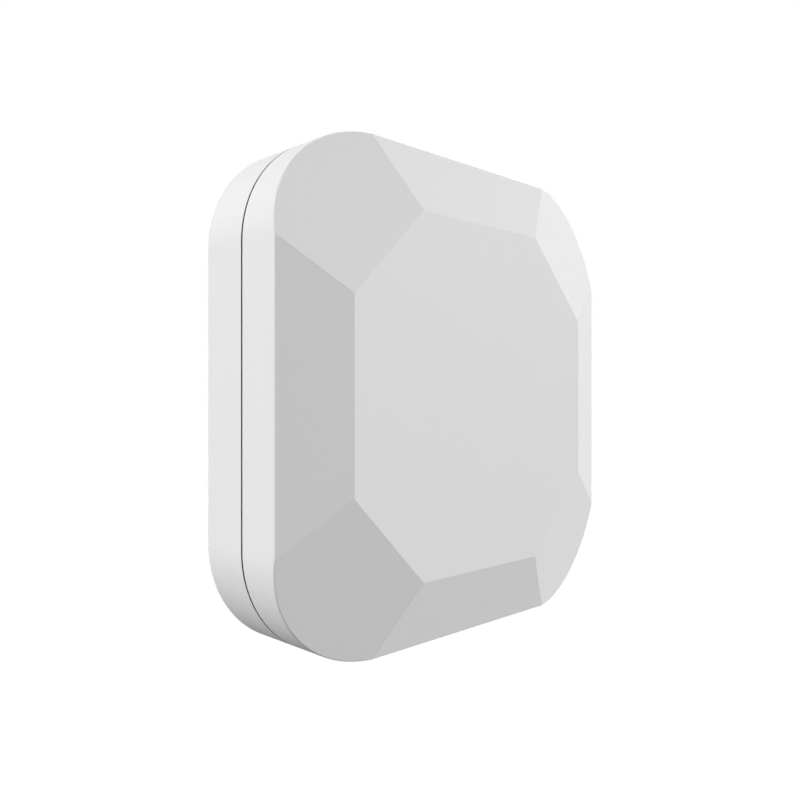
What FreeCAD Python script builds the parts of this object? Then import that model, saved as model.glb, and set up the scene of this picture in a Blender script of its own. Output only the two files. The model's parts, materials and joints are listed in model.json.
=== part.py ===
import FreeCAD, Part
import math
import os
import Sketcher
from FreeCAD import Placement, Rotation, Vector

# A square wireless air sensor for a wall: a flat rear base that the wall screws hold, and a
# faceted front cover that carries the board, the cells and the sensing parts and clips on to it.
# Millimetres. X runs to the right and Z up for someone who faces the sensor, and the wall is the
# plane Y = 0, so the sensor stands out towards -Y. The origin is the centre of the back face.
# "Depth" below is the distance in front of the wall.

# Driving sizes
SIZES = (
    ("body_width", 86.0, "outside width and height"),
    ("corner_radius", 19.2, "radius of the four outside corners"),
    ("base_depth", 9.8, "wall to the rim of the rear base"),
    ("parting_gap", 0.3, "shadow gap between base and cover"),
    ("cover_side_depth", 8.5, "straight side of the cover"),
    ("facet_drop", 4.1, "rise of the facets from side to table"),
    ("table_width", 62.2, "flat front table, across its flats"),
    ("table_side", 31.5, "long sides of the front table"),
    ("ridge_round", 0.25, "rounding of the ridges between facets"),
    ("cover_wall", 2.0, "wall of the cover"),
    ("base_wall", 2.0, "side wall of the base"),
    ("floor_thickness", 1.8, "back plate of the base"),
    ("back_edge_bevel", 0.15, "bevel of the back edge"),
    ("skirt_thickness", 1.0, "cover wall left outside the tongue"),
    ("tongue_height", 2.2, "tongue of the base above its rim"),
    ("tongue_clearance", 0.1, "tongue to skirt"),
    ("tongue_end_gap", 0.3, "tongue to the end of its rebate"),
    ("vent_width", 1.6, "vent slot, across"),
    ("vent_length", 5.0, "vent slot, along the depth"),
    ("vent_pitch", 3.2, "vent slot to vent slot"),
    ("vent_count", 9, "vent slots in each wall"),
    ("vent_setback", 3.0, "wall to the vent slots"),
    ("screw_spacing", 60.0, "wall screws, centre to centre"),
    ("slot_width", 4.2, "wall screw slot, across"),
    ("slot_length", 6.5, "wall screw slot, end to end"),
    ("slot_rim", 1.0, "rim round a wall screw slot"),
    ("slot_rim_height", 0.8, "rim above the back plate"),
    ("pad_recess_width", 48.0, "recess for a mounting pad"),
    ("pad_recess_height", 12.0, "recess for a mounting pad"),
    ("pad_recess_rise", 15.0, "recess centre above the middle"),
    ("pad_recess_depth", 0.4, "recess for a mounting pad"),
    ("pad_recess_radius", 3.0, "corners of that recess"),
    ("floor_rib_width", 1.2, "ribs on the back plate"),
    ("floor_rib_height", 1.5, "ribs on the back plate"),
    ("low_rib_drop", 12.0, "lower rib below the middle"),
    ("low_rib_length", 70.0, "lower rib"),
    ("top_rib_gap", 12.0, "break in the upper rib for a screw head"),
    ("top_rib_length", 52.0, "upper rib with its break"),
    ("standoff", 2.5, "cover table to board"),
    ("board_thickness", 1.2, "circuit board"),
    ("board_clearance", 0.5, "board to the facets inside"),
    ("screw_to_holder", 4.7, "board screws beside the cell holder"),
    ("board_screw_z", 14.0, "board screws from the middle"),
    ("boss_diameter", 5.0, "screw bosses of the cover"),
    ("pilot_diameter", 1.6, "bore of a boss"),
    ("pilot_skin", 1.9, "plastic left in front of a bore"),
    ("screw_diameter", 2.0, "board screw"),
    ("screw_length", 3.5, "board screw under its head"),
    ("screw_head_diameter", 3.8, "board screw head"),
    ("screw_head_height", 1.5, "board screw head"),
    ("screw_recess_diameter", 1.9, "drive recess, across its corners"),
    ("screw_recess_depth", 0.8, "drive recess in the head"),
    ("screw_hole_clearance", 0.3, "board hole over screw"),
    ("pin_diameter", 2.0, "pins that locate the board"),
    ("pin_x", 29.5, "locating pin from the middle"),
    ("pin_z", 21.0, "locating pin from the middle"),
    ("pin_clearance", 0.2, "board hole over pin"),
    ("cover_rib_width", 0.8, "ribs behind the table"),
    ("cover_rib_height", 1.0, "ribs behind the table"),
    ("cover_rib_offset", 11.0, "ribs from the middle"),
    ("window_diameter", 3.4, "thinned spot over the status light"),
    ("window_recess", 0.8, "depth of the thinned spot"),
    ("arm_rise", 13.0, "snap arms above and below the middle"),
    ("arm_width", 7.0, "snap arm along the wall"),
    ("arm_thickness", 1.2, "snap arm"),
    ("arm_wall_gap", 1.5, "snap arm to the cover wall"),
    ("nose_reach", 1.1, "hook on a snap arm"),
    ("nose_length", 1.6, "hook along the arm"),
    ("ledge_reach", 0.9, "ledge in the cover under a hook"),
    ("ledge_thickness", 1.0, "ledge in the cover"),
    ("ledge_setback", 2.9, "cover rim to ledge"),
    ("ledge_spare", 1.0, "ledge longer than the arm is wide"),
    ("snap_gap", 0.1, "hook to ledge"),
    ("holder_rise", 9.0, "cell holder above the middle"),
    ("bay_length", 53.8, "cell bay between its ends"),
    ("bay_clearance", 0.3, "cell bay wider than a cell"),
    ("holder_rib", 0.8, "rib between the two bays"),
    ("holder_wall", 1.0, "outer walls of the holder"),
    ("holder_floor", 0.6, "floor of the holder"),
    ("holder_height", 11.0, "holder above the board"),
    ("holder_corner", 1.0, "corner radius of the holder"),
    ("notch_width", 22.0, "finger notch in the holder"),
    ("notch_depth", 4.0, "finger notch in the holder"),
    ("cell_diameter", 14.2, "AA cell"),
    ("cell_length", 50.5, "AA cell with its nub"),
    ("cell_edge", 0.6, "bevel at the ends of a cell"),
    ("nub_diameter", 5.5, "positive nub"),
    ("nub_height", 1.3, "positive nub"),
    ("cell_rest_gap", 0.05, "cell to the holder and plates"),
    ("plate_thickness", 0.4, "positive contact plate"),
    ("plate_width", 9.0, "contact plates across the cell"),
    ("plate_height", 10.0, "contact plates above the holder floor"),
    ("leaf_thickness", 0.3, "negative contact leaf"),
    ("leaf_width", 6.0, "negative contact leaf"),
    ("leaf_crown", 2.8, "flat of the leaf that touches the cell"),
    ("chamber_width", 25.0, "sensing chamber inside its foam"),
    ("chamber_top", 19.8, "chamber top below the middle"),
    ("foam_thickness", 2.0, "foam wall of the chamber"),
    ("foam_edge", 0.9, "foam ends to the board edge"),
    ("foam_clearance", 0.3, "foam to the back plate"),
    ("gas_x", -5.5, "gas sensor, across"),
    ("gas_z", -27.5, "gas sensor, up"),
    ("gas_width", 10.1, "gas sensor, square"),
    ("gas_base_height", 0.8, "gas sensor base"),
    ("gas_can_inset", 0.3, "gas sensor can inside its base"),
    ("gas_can_height", 5.7, "gas sensor can"),
    ("gas_can_radius", 1.2, "gas sensor can corners"),
    ("filter_diameter", 5.0, "membrane on the gas sensor"),
    ("filter_thickness", 0.3, "membrane on the gas sensor"),
    ("filter_recess", 0.2, "membrane sunk into the can"),
    ("heat_slot_width", 1.0, "milled slot round the humidity sensor"),
    ("heat_slot_inside", 5.0, "board left inside that slot"),
    ("sensing_hole_depth", 0.45, "opening of the small air sensors"),
    ("switch_x", 22.0, "set-up button, across"),
    ("switch_z", -20.0, "set-up button, up"),
    ("switch_width", 6.0, "set-up button, square"),
    ("switch_height", 3.0, "moulded body of the button"),
    ("switch_frame_height", 0.3, "metal plate on the button"),
    ("switch_floor", 0.8, "floor of the button body"),
    ("cap_diameter", 3.4, "pushed part of the button"),
    ("cap_flange", 4.2, "flange that keeps the cap in"),
    ("cap_flange_height", 0.8, "flange that keeps the cap in"),
    ("cap_proud", 1.2, "cap above the metal plate"),
    ("cap_clearance", 0.2, "cap in its plate and body, across"),
    ("cap_rest_gap", 0.03, "flange under the plate, nub over the dome"),
    ("cap_nub", 1.4, "nub under the flange"),
    ("cap_travel", 0.25, "stroke of the button"),
    ("dome_thickness", 0.15, "spring dome under the cap"),
    ("dome_spare", 0.1, "left under the dome at full stroke"),
    ("dome_crown", 1.4, "flat top of the dome"),
    ("capacitor_x", -21.5, "reservoir capacitor, across"),
    ("capacitor_z", -25.0, "reservoir capacitor, up"),
    ("capacitor_diameter", 8.0, "reservoir capacitor"),
    ("capacitor_height", 8.6, "reservoir capacitor can"),
    ("capacitor_base_width", 8.3, "plastic base of the capacitor"),
    ("capacitor_base_height", 1.2, "plastic base of the capacitor"),
    ("capacitor_groove", 0.5, "rolled groove of the can"),
    ("radio_x", -9.0, "radio module, across"),
    ("radio_z", 31.0, "radio module, up"),
    ("radio_width", 14.0, "radio module"),
    ("radio_length", 10.0, "radio module"),
    ("radio_board_height", 0.8, "board of the radio module"),
    ("shield_inset", 0.8, "shield can inside the module"),
    ("shield_height", 1.8, "shield can"),
    ("shield_radius", 0.6, "shield can corners"),
    ("antenna_start", 1.5, "antenna strip, near end"),
    ("antenna_length", 16.0, "antenna strip"),
    ("antenna_z", 34.5, "antenna strip, up"),
    ("antenna_height", 6.0, "antenna strip above the board"),
    ("antenna_band", 1.4, "width of the strip"),
    ("antenna_feed", 4.0, "ground leg to feed leg"),
    ("antenna_thickness", 0.4, "sheet of the antenna"),
    ("light_z", -24.0, "status light, up"),
    ("light_width", 1.6, "status light"),
    ("light_length", 0.8, "status light"),
    ("light_height", 0.7, "status light"),
    ("guide_diameter", 3.0, "light guide"),
    ("guide_gap", 0.05, "light guide to light and window"),
    ("header_x", 30.0, "service header, across"),
    ("header_z", -10.0, "service header, up"),
    ("header_pitch", 1.27, "service header pins"),
    ("header_columns", 2, "pins across"),
    ("header_rows", 4, "pins up"),
    ("header_base_height", 1.3, "plastic of the header"),
    ("header_pin_height", 4.5, "pins above the board"),
    ("header_pin_width", 0.4, "pins, square"),
    ("chip_length", 1.6, "chip resistor or capacitor"),
    ("chip_width", 0.8, "chip resistor or capacitor"),
    ("chip_height", 0.7, "chip resistor or capacitor"),
    ("chip_pitch", 2.2, "chip to chip in a row"),
    ("chip_row_gap", 2.0, "controller chip to the middle of the row above it"),
    ("part_bevel", 0.2, "bevel on small moulded parts"),
)

# Small board parts: middle across, middle up, width, length and height above the board
BOARD_PARTS = (
    ("controller_chip", -24.0, -13.5, 7.0, 7.0, 0.9),
    ("timing_crystal", -16.0, -11.0, 3.2, 1.5, 0.7),
    ("power_inductor", 17.5, -12.0, 4.0, 4.0, 2.0),
    ("voc_sensor", 8.0, -24.5, 3.0, 3.0, 0.9),
    ("humidity_sensor", 8.0, -33.0, 2.5, 2.5, 0.9),
)
SENSING_HOLE = {"voc_sensor": 0.9, "humidity_sensor": 1.1}

doc = FreeCAD.newDocument("air_sensor")
sheet = doc.addObject("Spreadsheet::Sheet", "sizes")
row = 0


def set_size(alias, value, note):
    """Write one driving size into the sheet, under its name."""
    global row
    row += 1
    sheet.set(f"A{row}", note)
    sheet.set(f"B{row}", str(value))
    sheet.setAlias(f"B{row}", alias)


for alias, value, note in SIZES:
    set_size(alias, value, note)
for name, across, up, width, length, height in BOARD_PARTS:
    for suffix, value in (("x", across), ("z", up), ("width", width), ("length", length),
                          ("height", height)):
        set_size(f"{name}_{suffix}", value, f"{name}, {suffix}")
for name, diameter in SENSING_HOLE.items():
    set_size(f"{name}_hole", diameter, f"{name}, opening to the air")
doc.recompute()

# Sizes that follow from the driving ones
HALF = "(sizes.body_width / 2)"
STRAIGHT = f"({HALF} - sizes.corner_radius)"
COVER_RIM = "(sizes.base_depth + sizes.parting_gap)"
COVER_EDGE = f"({COVER_RIM} + sizes.cover_side_depth)"
FRONT = f"({COVER_EDGE} + sizes.facet_drop)"
COVER_INSIDE = f"({FRONT} - sizes.cover_wall)"
COVER_INNER_HALF = f"({HALF} - sizes.cover_wall)"
BASE_INNER_HALF = f"({HALF} - sizes.base_wall)"
REBATE_DEPTH = "(sizes.tongue_height - sizes.parting_gap + sizes.tongue_end_gap)"

# A facet's slope is its rise for each millimetre that it runs outwards. A side facet runs from
# the table to the straight side, and a corner facet from the table's short side to the two
# points where the corner's round starts, so that it dips behind them in the middle.
TABLE_HALF = "(sizes.table_width / 2)"
TABLE_DIAGONAL = f"(({TABLE_HALF} + sizes.table_side / 2) / sqrt(2))"
SIDE_SLOPE = f"(sizes.facet_drop / ({HALF} - {TABLE_HALF}))"
CORNER_SLOPE = f"(sizes.facet_drop / (({HALF} + {STRAIGHT}) / sqrt(2) - {TABLE_DIAGONAL}))"
CORNER_REACH = f"({STRAIGHT} * sqrt(2) + sizes.corner_radius)"


def inward(start, slope):
    """Where a facet starts on the cavity's own table, one wall inside the outer facet."""
    return f"({start} - sizes.cover_wall * (sqrt(1 + {slope} * {slope}) - 1) / {slope})"


CAVITY_TABLE_HALF = inward(TABLE_HALF, SIDE_SLOPE)
CAVITY_TABLE_DIAGONAL = inward(TABLE_DIAGONAL, CORNER_SLOPE)

BOARD_FRONT = f"({COVER_INSIDE} - sizes.standoff)"
BOARD_BACK = f"({BOARD_FRONT} - sizes.board_thickness)"
BOARD_HALF = f"({CAVITY_TABLE_HALF} + sizes.standoff / {SIDE_SLOPE} - sizes.board_clearance)"
BOARD_DIAGONAL = (f"({CAVITY_TABLE_DIAGONAL} + sizes.standoff / {CORNER_SLOPE}"
                  " - sizes.board_clearance)")
BOARD_SIDE = f"({BOARD_DIAGONAL} * sqrt(2) - {BOARD_HALF})"

LEDGE_DEPTH = f"({COVER_RIM} + sizes.ledge_setback)"
NOSE_DEPTH = f"({LEDGE_DEPTH} + sizes.ledge_thickness + sizes.snap_gap)"
ARM_OUTSIDE = f"({COVER_INNER_HALF} - sizes.arm_wall_gap)"
ARM_INSIDE = f"({ARM_OUTSIDE} - sizes.arm_thickness)"

BAY_WIDTH = "(sizes.cell_diameter + sizes.bay_clearance)"
CELL_PITCH = f"({BAY_WIDTH} + sizes.holder_rib)"
HOLDER_BACK = f"({BOARD_BACK} - sizes.holder_height)"
BAY_FLOOR = f"({BOARD_BACK} - sizes.holder_floor)"
CELL_DEPTH = f"({BAY_FLOOR} - sizes.cell_rest_gap - sizes.cell_diameter / 2)"
NUB_END = "(sizes.bay_length / 2 - sizes.plate_thickness - sizes.cell_rest_gap)"
HOLDER_HALF = "(sizes.bay_length / 2 + sizes.holder_wall)"
BOARD_SCREW_X = f"({HOLDER_HALF} + sizes.screw_to_holder)"

SWITCH_TOP = f"({BOARD_BACK} - sizes.switch_height)"
SWITCH_PLATE = f"({SWITCH_TOP} - sizes.switch_frame_height)"
SWITCH_FLOOR = f"({BOARD_BACK} - sizes.switch_floor)"
DOME_HEIGHT = "(sizes.dome_thickness + sizes.cap_travel + sizes.dome_spare)"


def number(expression):
    """The present value of an expression on the sheet."""
    return float(sheet.evalExpression(expression))


def minus(expression):
    """The same expression with its sign turned."""
    return "0" if expression == "0" else f"(-1 * {expression})"


def origin_object(body, role):
    """One of a body's own origin planes or axes."""
    return next(item for item in body.Origin.OriginFeatures if item.Role == role)


def new_body(label):
    """An empty body that carries the name of its piece."""
    body = doc.addObject("PartDesign::Body", label)
    body.Label = label
    return body


def new_sketch(body, name, depth="0", plane="XZ_Plane", turn=0.0):
    """A sketch on an origin plane; on XZ_Plane it faces the front at the given depth."""
    sketch = body.newObject("Sketcher::SketchObject", name)
    sketch.AttachmentSupport = (origin_object(body, plane), [""])
    sketch.MapMode = "FlatFace"
    sketch.AttachmentOffset = Placement(Vector(0, 0, 0), Rotation(Vector(0, 1, 0), turn))
    sketch.setExpression("AttachmentOffset.Base.z", depth)
    return sketch


def dimension(sketch, kind, expression, *where):
    """Add a constraint of the given kind, bound to an expression."""
    index = sketch.addConstraint(Sketcher.Constraint(kind, *where, number(expression)))
    sketch.setExpression(f"Constraints[{index}]", expression)


def fix_point(sketch, curve, end, point):
    """Hold one end of a curve at a point given by two expressions."""
    for kind, expression, axis in (("DistanceX", point[0], -2), ("DistanceY", point[1], -1)):
        if expression == "0":
            sketch.addConstraint(Sketcher.Constraint("PointOnObject", curve, end, axis))
        else:
            dimension(sketch, kind, expression, -1, 1, curve, end)


def vector(point):
    """A pair of expressions as a point."""
    return Vector(number(point[0]), number(point[1]), 0)


def draw_polygon(sketch, points):
    """A closed outline of straight lines through the points."""
    first = sketch.GeometryCount
    count = len(points)
    for index, point in enumerate(points):
        end = points[(index + 1) % count]
        sketch.addGeometry(Part.LineSegment(vector(point), vector(end)), False)
    for index, point in enumerate(points):
        following = first + (index + 1) % count
        sketch.addConstraint(Sketcher.Constraint("Coincident", first + index, 2, following, 1))
        fix_point(sketch, first + index, 1, point)


def draw_rounded(sketch, low, high, radius):
    """A rectangle from its low corner to its high corner, with round corners."""
    first = sketch.GeometryCount
    (left, bottom), (right, top) = low, high
    inner_left = f"({left} + {radius})"
    inner_right = f"({right} - {radius})"
    inner_bottom = f"({bottom} + {radius})"
    inner_top = f"({top} - {radius})"
    sides = (((inner_left, bottom), (inner_right, bottom)), ((right, inner_bottom), (right, inner_top)),
             ((inner_right, top), (inner_left, top)), ((left, inner_top), (left, inner_bottom)))
    centres = ((inner_right, inner_bottom), (inner_right, inner_top), (inner_left, inner_top),
               (inner_left, inner_bottom))
    for start, end in sides:
        sketch.addGeometry(Part.LineSegment(vector(start), vector(end)), False)
    for turn, centre in enumerate(centres, -1):
        circle = Part.Circle(vector(centre), Vector(0, 0, 1), number(radius))
        arc = Part.ArcOfCircle(circle, turn * math.pi / 2, (turn + 1) * math.pi / 2)
        sketch.addGeometry(arc, False)
    for side, (start, end) in enumerate(sides):
        line = first + side
        arc = first + 4 + side
        following = first + (side + 1) % 4
        sketch.addConstraint(Sketcher.Constraint("Coincident", line, 2, arc, 1))
        sketch.addConstraint(Sketcher.Constraint("Coincident", arc, 2, following, 1))
        fix_point(sketch, line, 1, start)
        fix_point(sketch, line, 2, end)
        dimension(sketch, "Radius", radius, arc)


def draw_square(sketch, half, radius):
    """A rounded square about the middle."""
    draw_rounded(sketch, (minus(half), minus(half)), (half, half), radius)


def draw_bevelled(sketch, low, high, bevel):
    """A rectangle from its low corner to its high corner, with its corners cut off."""
    (left, bottom), (right, top) = low, high
    draw_polygon(sketch, ((f"({left} + {bevel})", bottom), (f"({right} - {bevel})", bottom),
                          (right, f"({bottom} + {bevel})"), (right, f"({top} - {bevel})"),
                          (f"({right} - {bevel})", top), (f"({left} + {bevel})", top),
                          (left, f"({top} - {bevel})"), (left, f"({bottom} + {bevel})")))


def draw_hexagon(sketch, diameter):
    """A six-sided outline about the middle, by the circle through its corners."""
    reach = f"({diameter} / 2)"
    across = f"({diameter} / 4)"
    up = f"({diameter} * sqrt(3) / 4)"
    draw_polygon(sketch, ((reach, "0"), (across, up), (minus(across), up), (minus(reach), "0"),
                          (minus(across), minus(up)), (across, minus(up))))


def draw_circle(sketch, centre, diameter):
    """A circle about a point."""
    first = sketch.GeometryCount
    sketch.addGeometry(Part.Circle(vector(centre), Vector(0, 0, 1), number(diameter) / 2), False)
    fix_point(sketch, first, 3, centre)
    dimension(sketch, "Diameter", diameter, first)


def draw_slot(sketch, centre, length, width, upright):
    """A slot with round ends about a point, along X or, if upright, along Z."""
    first = sketch.GeometryCount
    reach = f"(({length} - {width}) / 2)"
    radius = f"({width} / 2)"
    across, up = centre

    def at(along, aside):
        if upright:
            return (f"({across} + {minus(aside)})", f"({up} + {along})")
        return (f"({across} + {along})", f"({up} + {aside})")

    lines = ((at(minus(reach), minus(radius)), at(reach, minus(radius))),
             (at(reach, radius), at(minus(reach), radius)))
    spin = math.pi / 2 if upright else 0.0
    for start, end in lines:
        sketch.addGeometry(Part.LineSegment(vector(start), vector(end)), False)
    for side, end in ((-1, at(reach, "0")), (1, at(minus(reach), "0"))):
        circle = Part.Circle(vector(end), Vector(0, 0, 1), number(radius))
        start_angle = spin + side * math.pi / 2
        sketch.addGeometry(Part.ArcOfCircle(circle, start_angle, start_angle + math.pi), False)
    for side, (start, end) in enumerate(lines):
        sketch.addConstraint(Sketcher.Constraint("Coincident", first + side, 2, first + 2 + side, 1))
        sketch.addConstraint(Sketcher.Constraint("Coincident", first + 2 + side, 2, first + 1 - side, 1))
        fix_point(sketch, first + side, 1, start)
        fix_point(sketch, first + side, 2, end)
    for side, end in enumerate((at(reach, "0"), at(minus(reach), "0"))):
        if upright:
            dimension(sketch, "DistanceY", end[1], -1, 1, first + 2 + side, 3)
        else:
            dimension(sketch, "DistanceX", end[0], -1, 1, first + 2 + side, 3)


def pad(body, sketch, length, midplane=False):
    """Add material over a sketch, towards the front unless it is a midplane pad."""
    feature = body.newObject("PartDesign::Pad", sketch.Name + "_pad")
    feature.Profile = sketch
    feature.Midplane = midplane
    feature.setExpression("Length", length)
    body.Tip = feature
    doc.recompute()
    return feature


def pocket(body, sketch, length=None, towards_front=False, midplane=False):
    """Cut a sketch into the body, by a length or right through."""
    before = body.Shape.Volume
    feature = body.newObject("PartDesign::Pocket", sketch.Name + "_cut")
    feature.Profile = sketch
    feature.Midplane = midplane
    feature.Reversed = towards_front
    if length is None:
        feature.Type = "ThroughAll"
    else:
        feature.setExpression("Length", length)
    body.Tip = feature
    doc.recompute()
    if not feature.Shape.Volume < before:
        raise RuntimeError(f"{feature.Name} cuts nothing")
    return feature


def turn_about_depth(body, feature, count):
    """Repeat a feature round the axis that points at the front."""
    pattern = body.newObject("PartDesign::PolarPattern", feature.Name + "_round")
    pattern.Originals = [feature]
    pattern.Axis = (origin_object(body, "Y_Axis"), [""])
    pattern.Angle = 360
    pattern.Occurrences = count
    body.Tip = pattern
    doc.recompute()


def repeat_along_x(body, feature, count, pitch):
    """Repeat a feature in a row towards the right."""
    row_pattern = body.newObject("PartDesign::LinearPattern", feature.Name + "_row")
    row_pattern.Originals = [feature]
    row_pattern.Direction = (origin_object(body, "X_Axis"), [""])
    row_pattern.Mode = "Spacing"
    row_pattern.setExpression("Offset", pitch)
    row_pattern.setExpression("Occurrences", count)
    body.Tip = row_pattern
    doc.recompute()


def revolve(body, sketch, axis):
    """Turn a profile about one of the body's origin axes."""
    feature = body.newObject("PartDesign::Revolution", sketch.Name + "_turned")
    feature.Profile = sketch
    feature.ReferenceAxis = (origin_object(body, axis), [""])
    feature.Angle = 360
    body.Tip = feature
    doc.recompute()


def soften(body, kind, size, chosen, name):
    """Fillet or chamfer the edges of the body that the test picks."""
    base = body.Tip
    edges = [f"Edge{index}" for index, edge in enumerate(base.Shape.Edges, 1) if chosen(edge)]
    feature = body.newObject("PartDesign::" + kind, name)
    feature.Base = (base, edges)
    feature.setExpression("Radius" if kind == "Fillet" else "Size", size)
    body.Tip = feature
    doc.recompute()


def place(thing, across="0", depth="0", up="0", turn=None):
    """Set where a piece sits, and how it is turned about an axis."""
    if turn:
        axis, angle = turn
        thing.Placement = Placement(Vector(0, 0, 0), Rotation(axis, angle))
    thing.setExpression(".Placement.Base.x", across)
    thing.setExpression(".Placement.Base.y", minus(depth))
    thing.setExpression(".Placement.Base.z", up)


def box(name, across, up, width, length, rear, height):
    """A block about a point of the board plane, with its rear face at a depth."""
    block = doc.addObject("Part::Box", name)
    block.setExpression("Length", width)
    block.setExpression("Width", height)
    block.setExpression("Height", length)
    place(block, f"{across} - {width} / 2", f"({rear} + {height})", f"{up} - {length} / 2")
    return block


def group(label, members):
    """Several like solids under one name."""
    compound = doc.addObject("Part::Compound", label)
    compound.Label = label
    compound.Links = members
    return compound


def cut_facets(body, name, start, front, slope, reach, turn):
    """Cut one sloping facet right across the body's front, and repeat it on all four sides."""
    # The cut starts and ends outside the block, on the facet's own plane, so it leaves no sliver
    sketch = new_sketch(body, name, plane="XY_Plane", turn=turn)
    over = "sizes.cover_wall"
    near = f"({start} - {over})"
    far = f"({reach} + {over})"
    above = minus(f"({front} + {over} * {slope})")
    below = minus(f"({front} - ({far} - {start}) * {slope})")
    draw_polygon(sketch, ((near, above), (far, below), (far, above)))
    turn_about_depth(body, pocket(body, sketch, midplane=True), 4)


def faceted_block(label, rear, half, radius, front, table_half, table_diagonal):
    """A rounded square block with eight facets round a flat table on its front."""
    body = new_body(label)
    outline = new_sketch(body, label + "_outline", rear)
    draw_square(outline, half, radius)
    pad(body, outline, f"{front} - {rear}")
    cut_facets(body, label + "_side_facet", table_half, front, SIDE_SLOPE, HALF, 0.0)
    cut_facets(body, label + "_corner_facet", table_diagonal, front, CORNER_SLOPE, CORNER_REACH, 45.0)
    return body


def mirrored(across, up):
    """The four points that mirror one point about the middle."""
    return [(x, z) for x in (across, minus(across)) for z in (up, minus(up))]


def make_cover_core():
    """The hollow of the cover, less what stands in it: bosses, pins, ribs and snap ledges."""
    core = faceted_block("cover_core", f"({COVER_RIM} - sizes.cover_wall)", COVER_INNER_HALF,
                         "(sizes.corner_radius - sizes.cover_wall)", COVER_INSIDE,
                         CAVITY_TABLE_HALF, CAVITY_TABLE_DIAGONAL)
    bosses = new_sketch(core, "boss_rounds", BOARD_FRONT)
    for point in mirrored(BOARD_SCREW_X, "sizes.board_screw_z"):
        draw_circle(bosses, point, "sizes.boss_diameter")
    pocket(core, bosses, towards_front=True)
    pins = new_sketch(core, "pin_rounds", BOARD_BACK)
    for side in ("sizes.pin_x", "sizes.pin_z"), (minus("sizes.pin_x"), minus("sizes.pin_z")):
        draw_circle(pins, side, "sizes.pin_diameter")
    pocket(core, pins, towards_front=True)
    rib_sketch = new_sketch(core, "table_ribs", f"({COVER_INSIDE} - sizes.cover_rib_height)")
    half_rib = "sizes.cover_rib_width / 2"
    for offset in ("sizes.cover_rib_offset", minus("sizes.cover_rib_offset")):
        low = (minus(COVER_INNER_HALF), f"({offset} - {half_rib})")
        high = (COVER_INNER_HALF, f"({offset} + {half_rib})")
        draw_polygon(rib_sketch, (low, (high[0], low[1]), high, (low[0], high[1])))
    pocket(core, rib_sketch, towards_front=True)
    upright = new_sketch(core, "upright_ribs", f"({COVER_INSIDE} - sizes.cover_rib_height)")
    for offset in ("sizes.cover_rib_offset", minus("sizes.cover_rib_offset")):
        low = (f"({offset} - {half_rib})", minus(COVER_INNER_HALF))
        high = (f"({offset} + {half_rib})", COVER_INNER_HALF)
        draw_polygon(upright, (low, (high[0], low[1]), high, (low[0], high[1])))
    pocket(core, upright, towards_front=True)
    ledges = new_sketch(core, "snap_ledges", LEDGE_DEPTH)
    reach = f"({COVER_INNER_HALF} - sizes.ledge_reach)"
    outside = f"({COVER_INNER_HALF} + sizes.cover_wall / 2)"
    half_ledge = "(sizes.arm_width + sizes.ledge_spare) / 2"
    for up in ("sizes.arm_rise", minus("sizes.arm_rise")):
        for near, far in ((reach, outside), (minus(outside), minus(reach))):
            low = (near, f"({up} - {half_ledge})")
            high = (far, f"({up} + {half_ledge})")
            draw_polygon(ledges, (low, (high[0], low[1]), high, (low[0], high[1])))
    pocket(core, ledges, "sizes.ledge_thickness", towards_front=True)
    return core


def make_front_cover():
    """The moulded cover: the faceted block, its ridges eased, hollowed by its core."""
    cover = faceted_block("front_cover", COVER_RIM, HALF, "sizes.corner_radius", FRONT,
                          TABLE_HALF, TABLE_DIAGONAL)
    below_table = number("sizes.facet_drop") / 10 - number(FRONT)
    soften(cover, "Fillet", "sizes.ridge_round",
           lambda edge: edge.BoundBox.YMin < below_table, "ridge_rounds")
    hollow = cover.newObject("PartDesign::Boolean", "cover_hollow")
    hollow.Type = "Cut"
    hollow.setObjects([make_cover_core()])
    cover.Tip = hollow
    doc.recompute()
    rebate = new_sketch(cover, "tongue_rebate", COVER_RIM)
    draw_square(rebate, f"({HALF} - sizes.skirt_thickness)",
                "(sizes.corner_radius - sizes.skirt_thickness)")
    pocket(cover, rebate, REBATE_DEPTH, towards_front=True)
    pilots = new_sketch(cover, "boss_bores", BOARD_FRONT)
    for point in mirrored(BOARD_SCREW_X, "sizes.board_screw_z"):
        draw_circle(pilots, point, "sizes.pilot_diameter")
    pocket(cover, pilots, f"{FRONT} - sizes.pilot_skin - {BOARD_FRONT}", towards_front=True)
    window = new_sketch(cover, "light_window", COVER_INSIDE)
    draw_circle(window, ("0", "sizes.light_z"), "sizes.window_diameter")
    pocket(cover, window, "sizes.window_recess", towards_front=True)
    return cover


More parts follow.
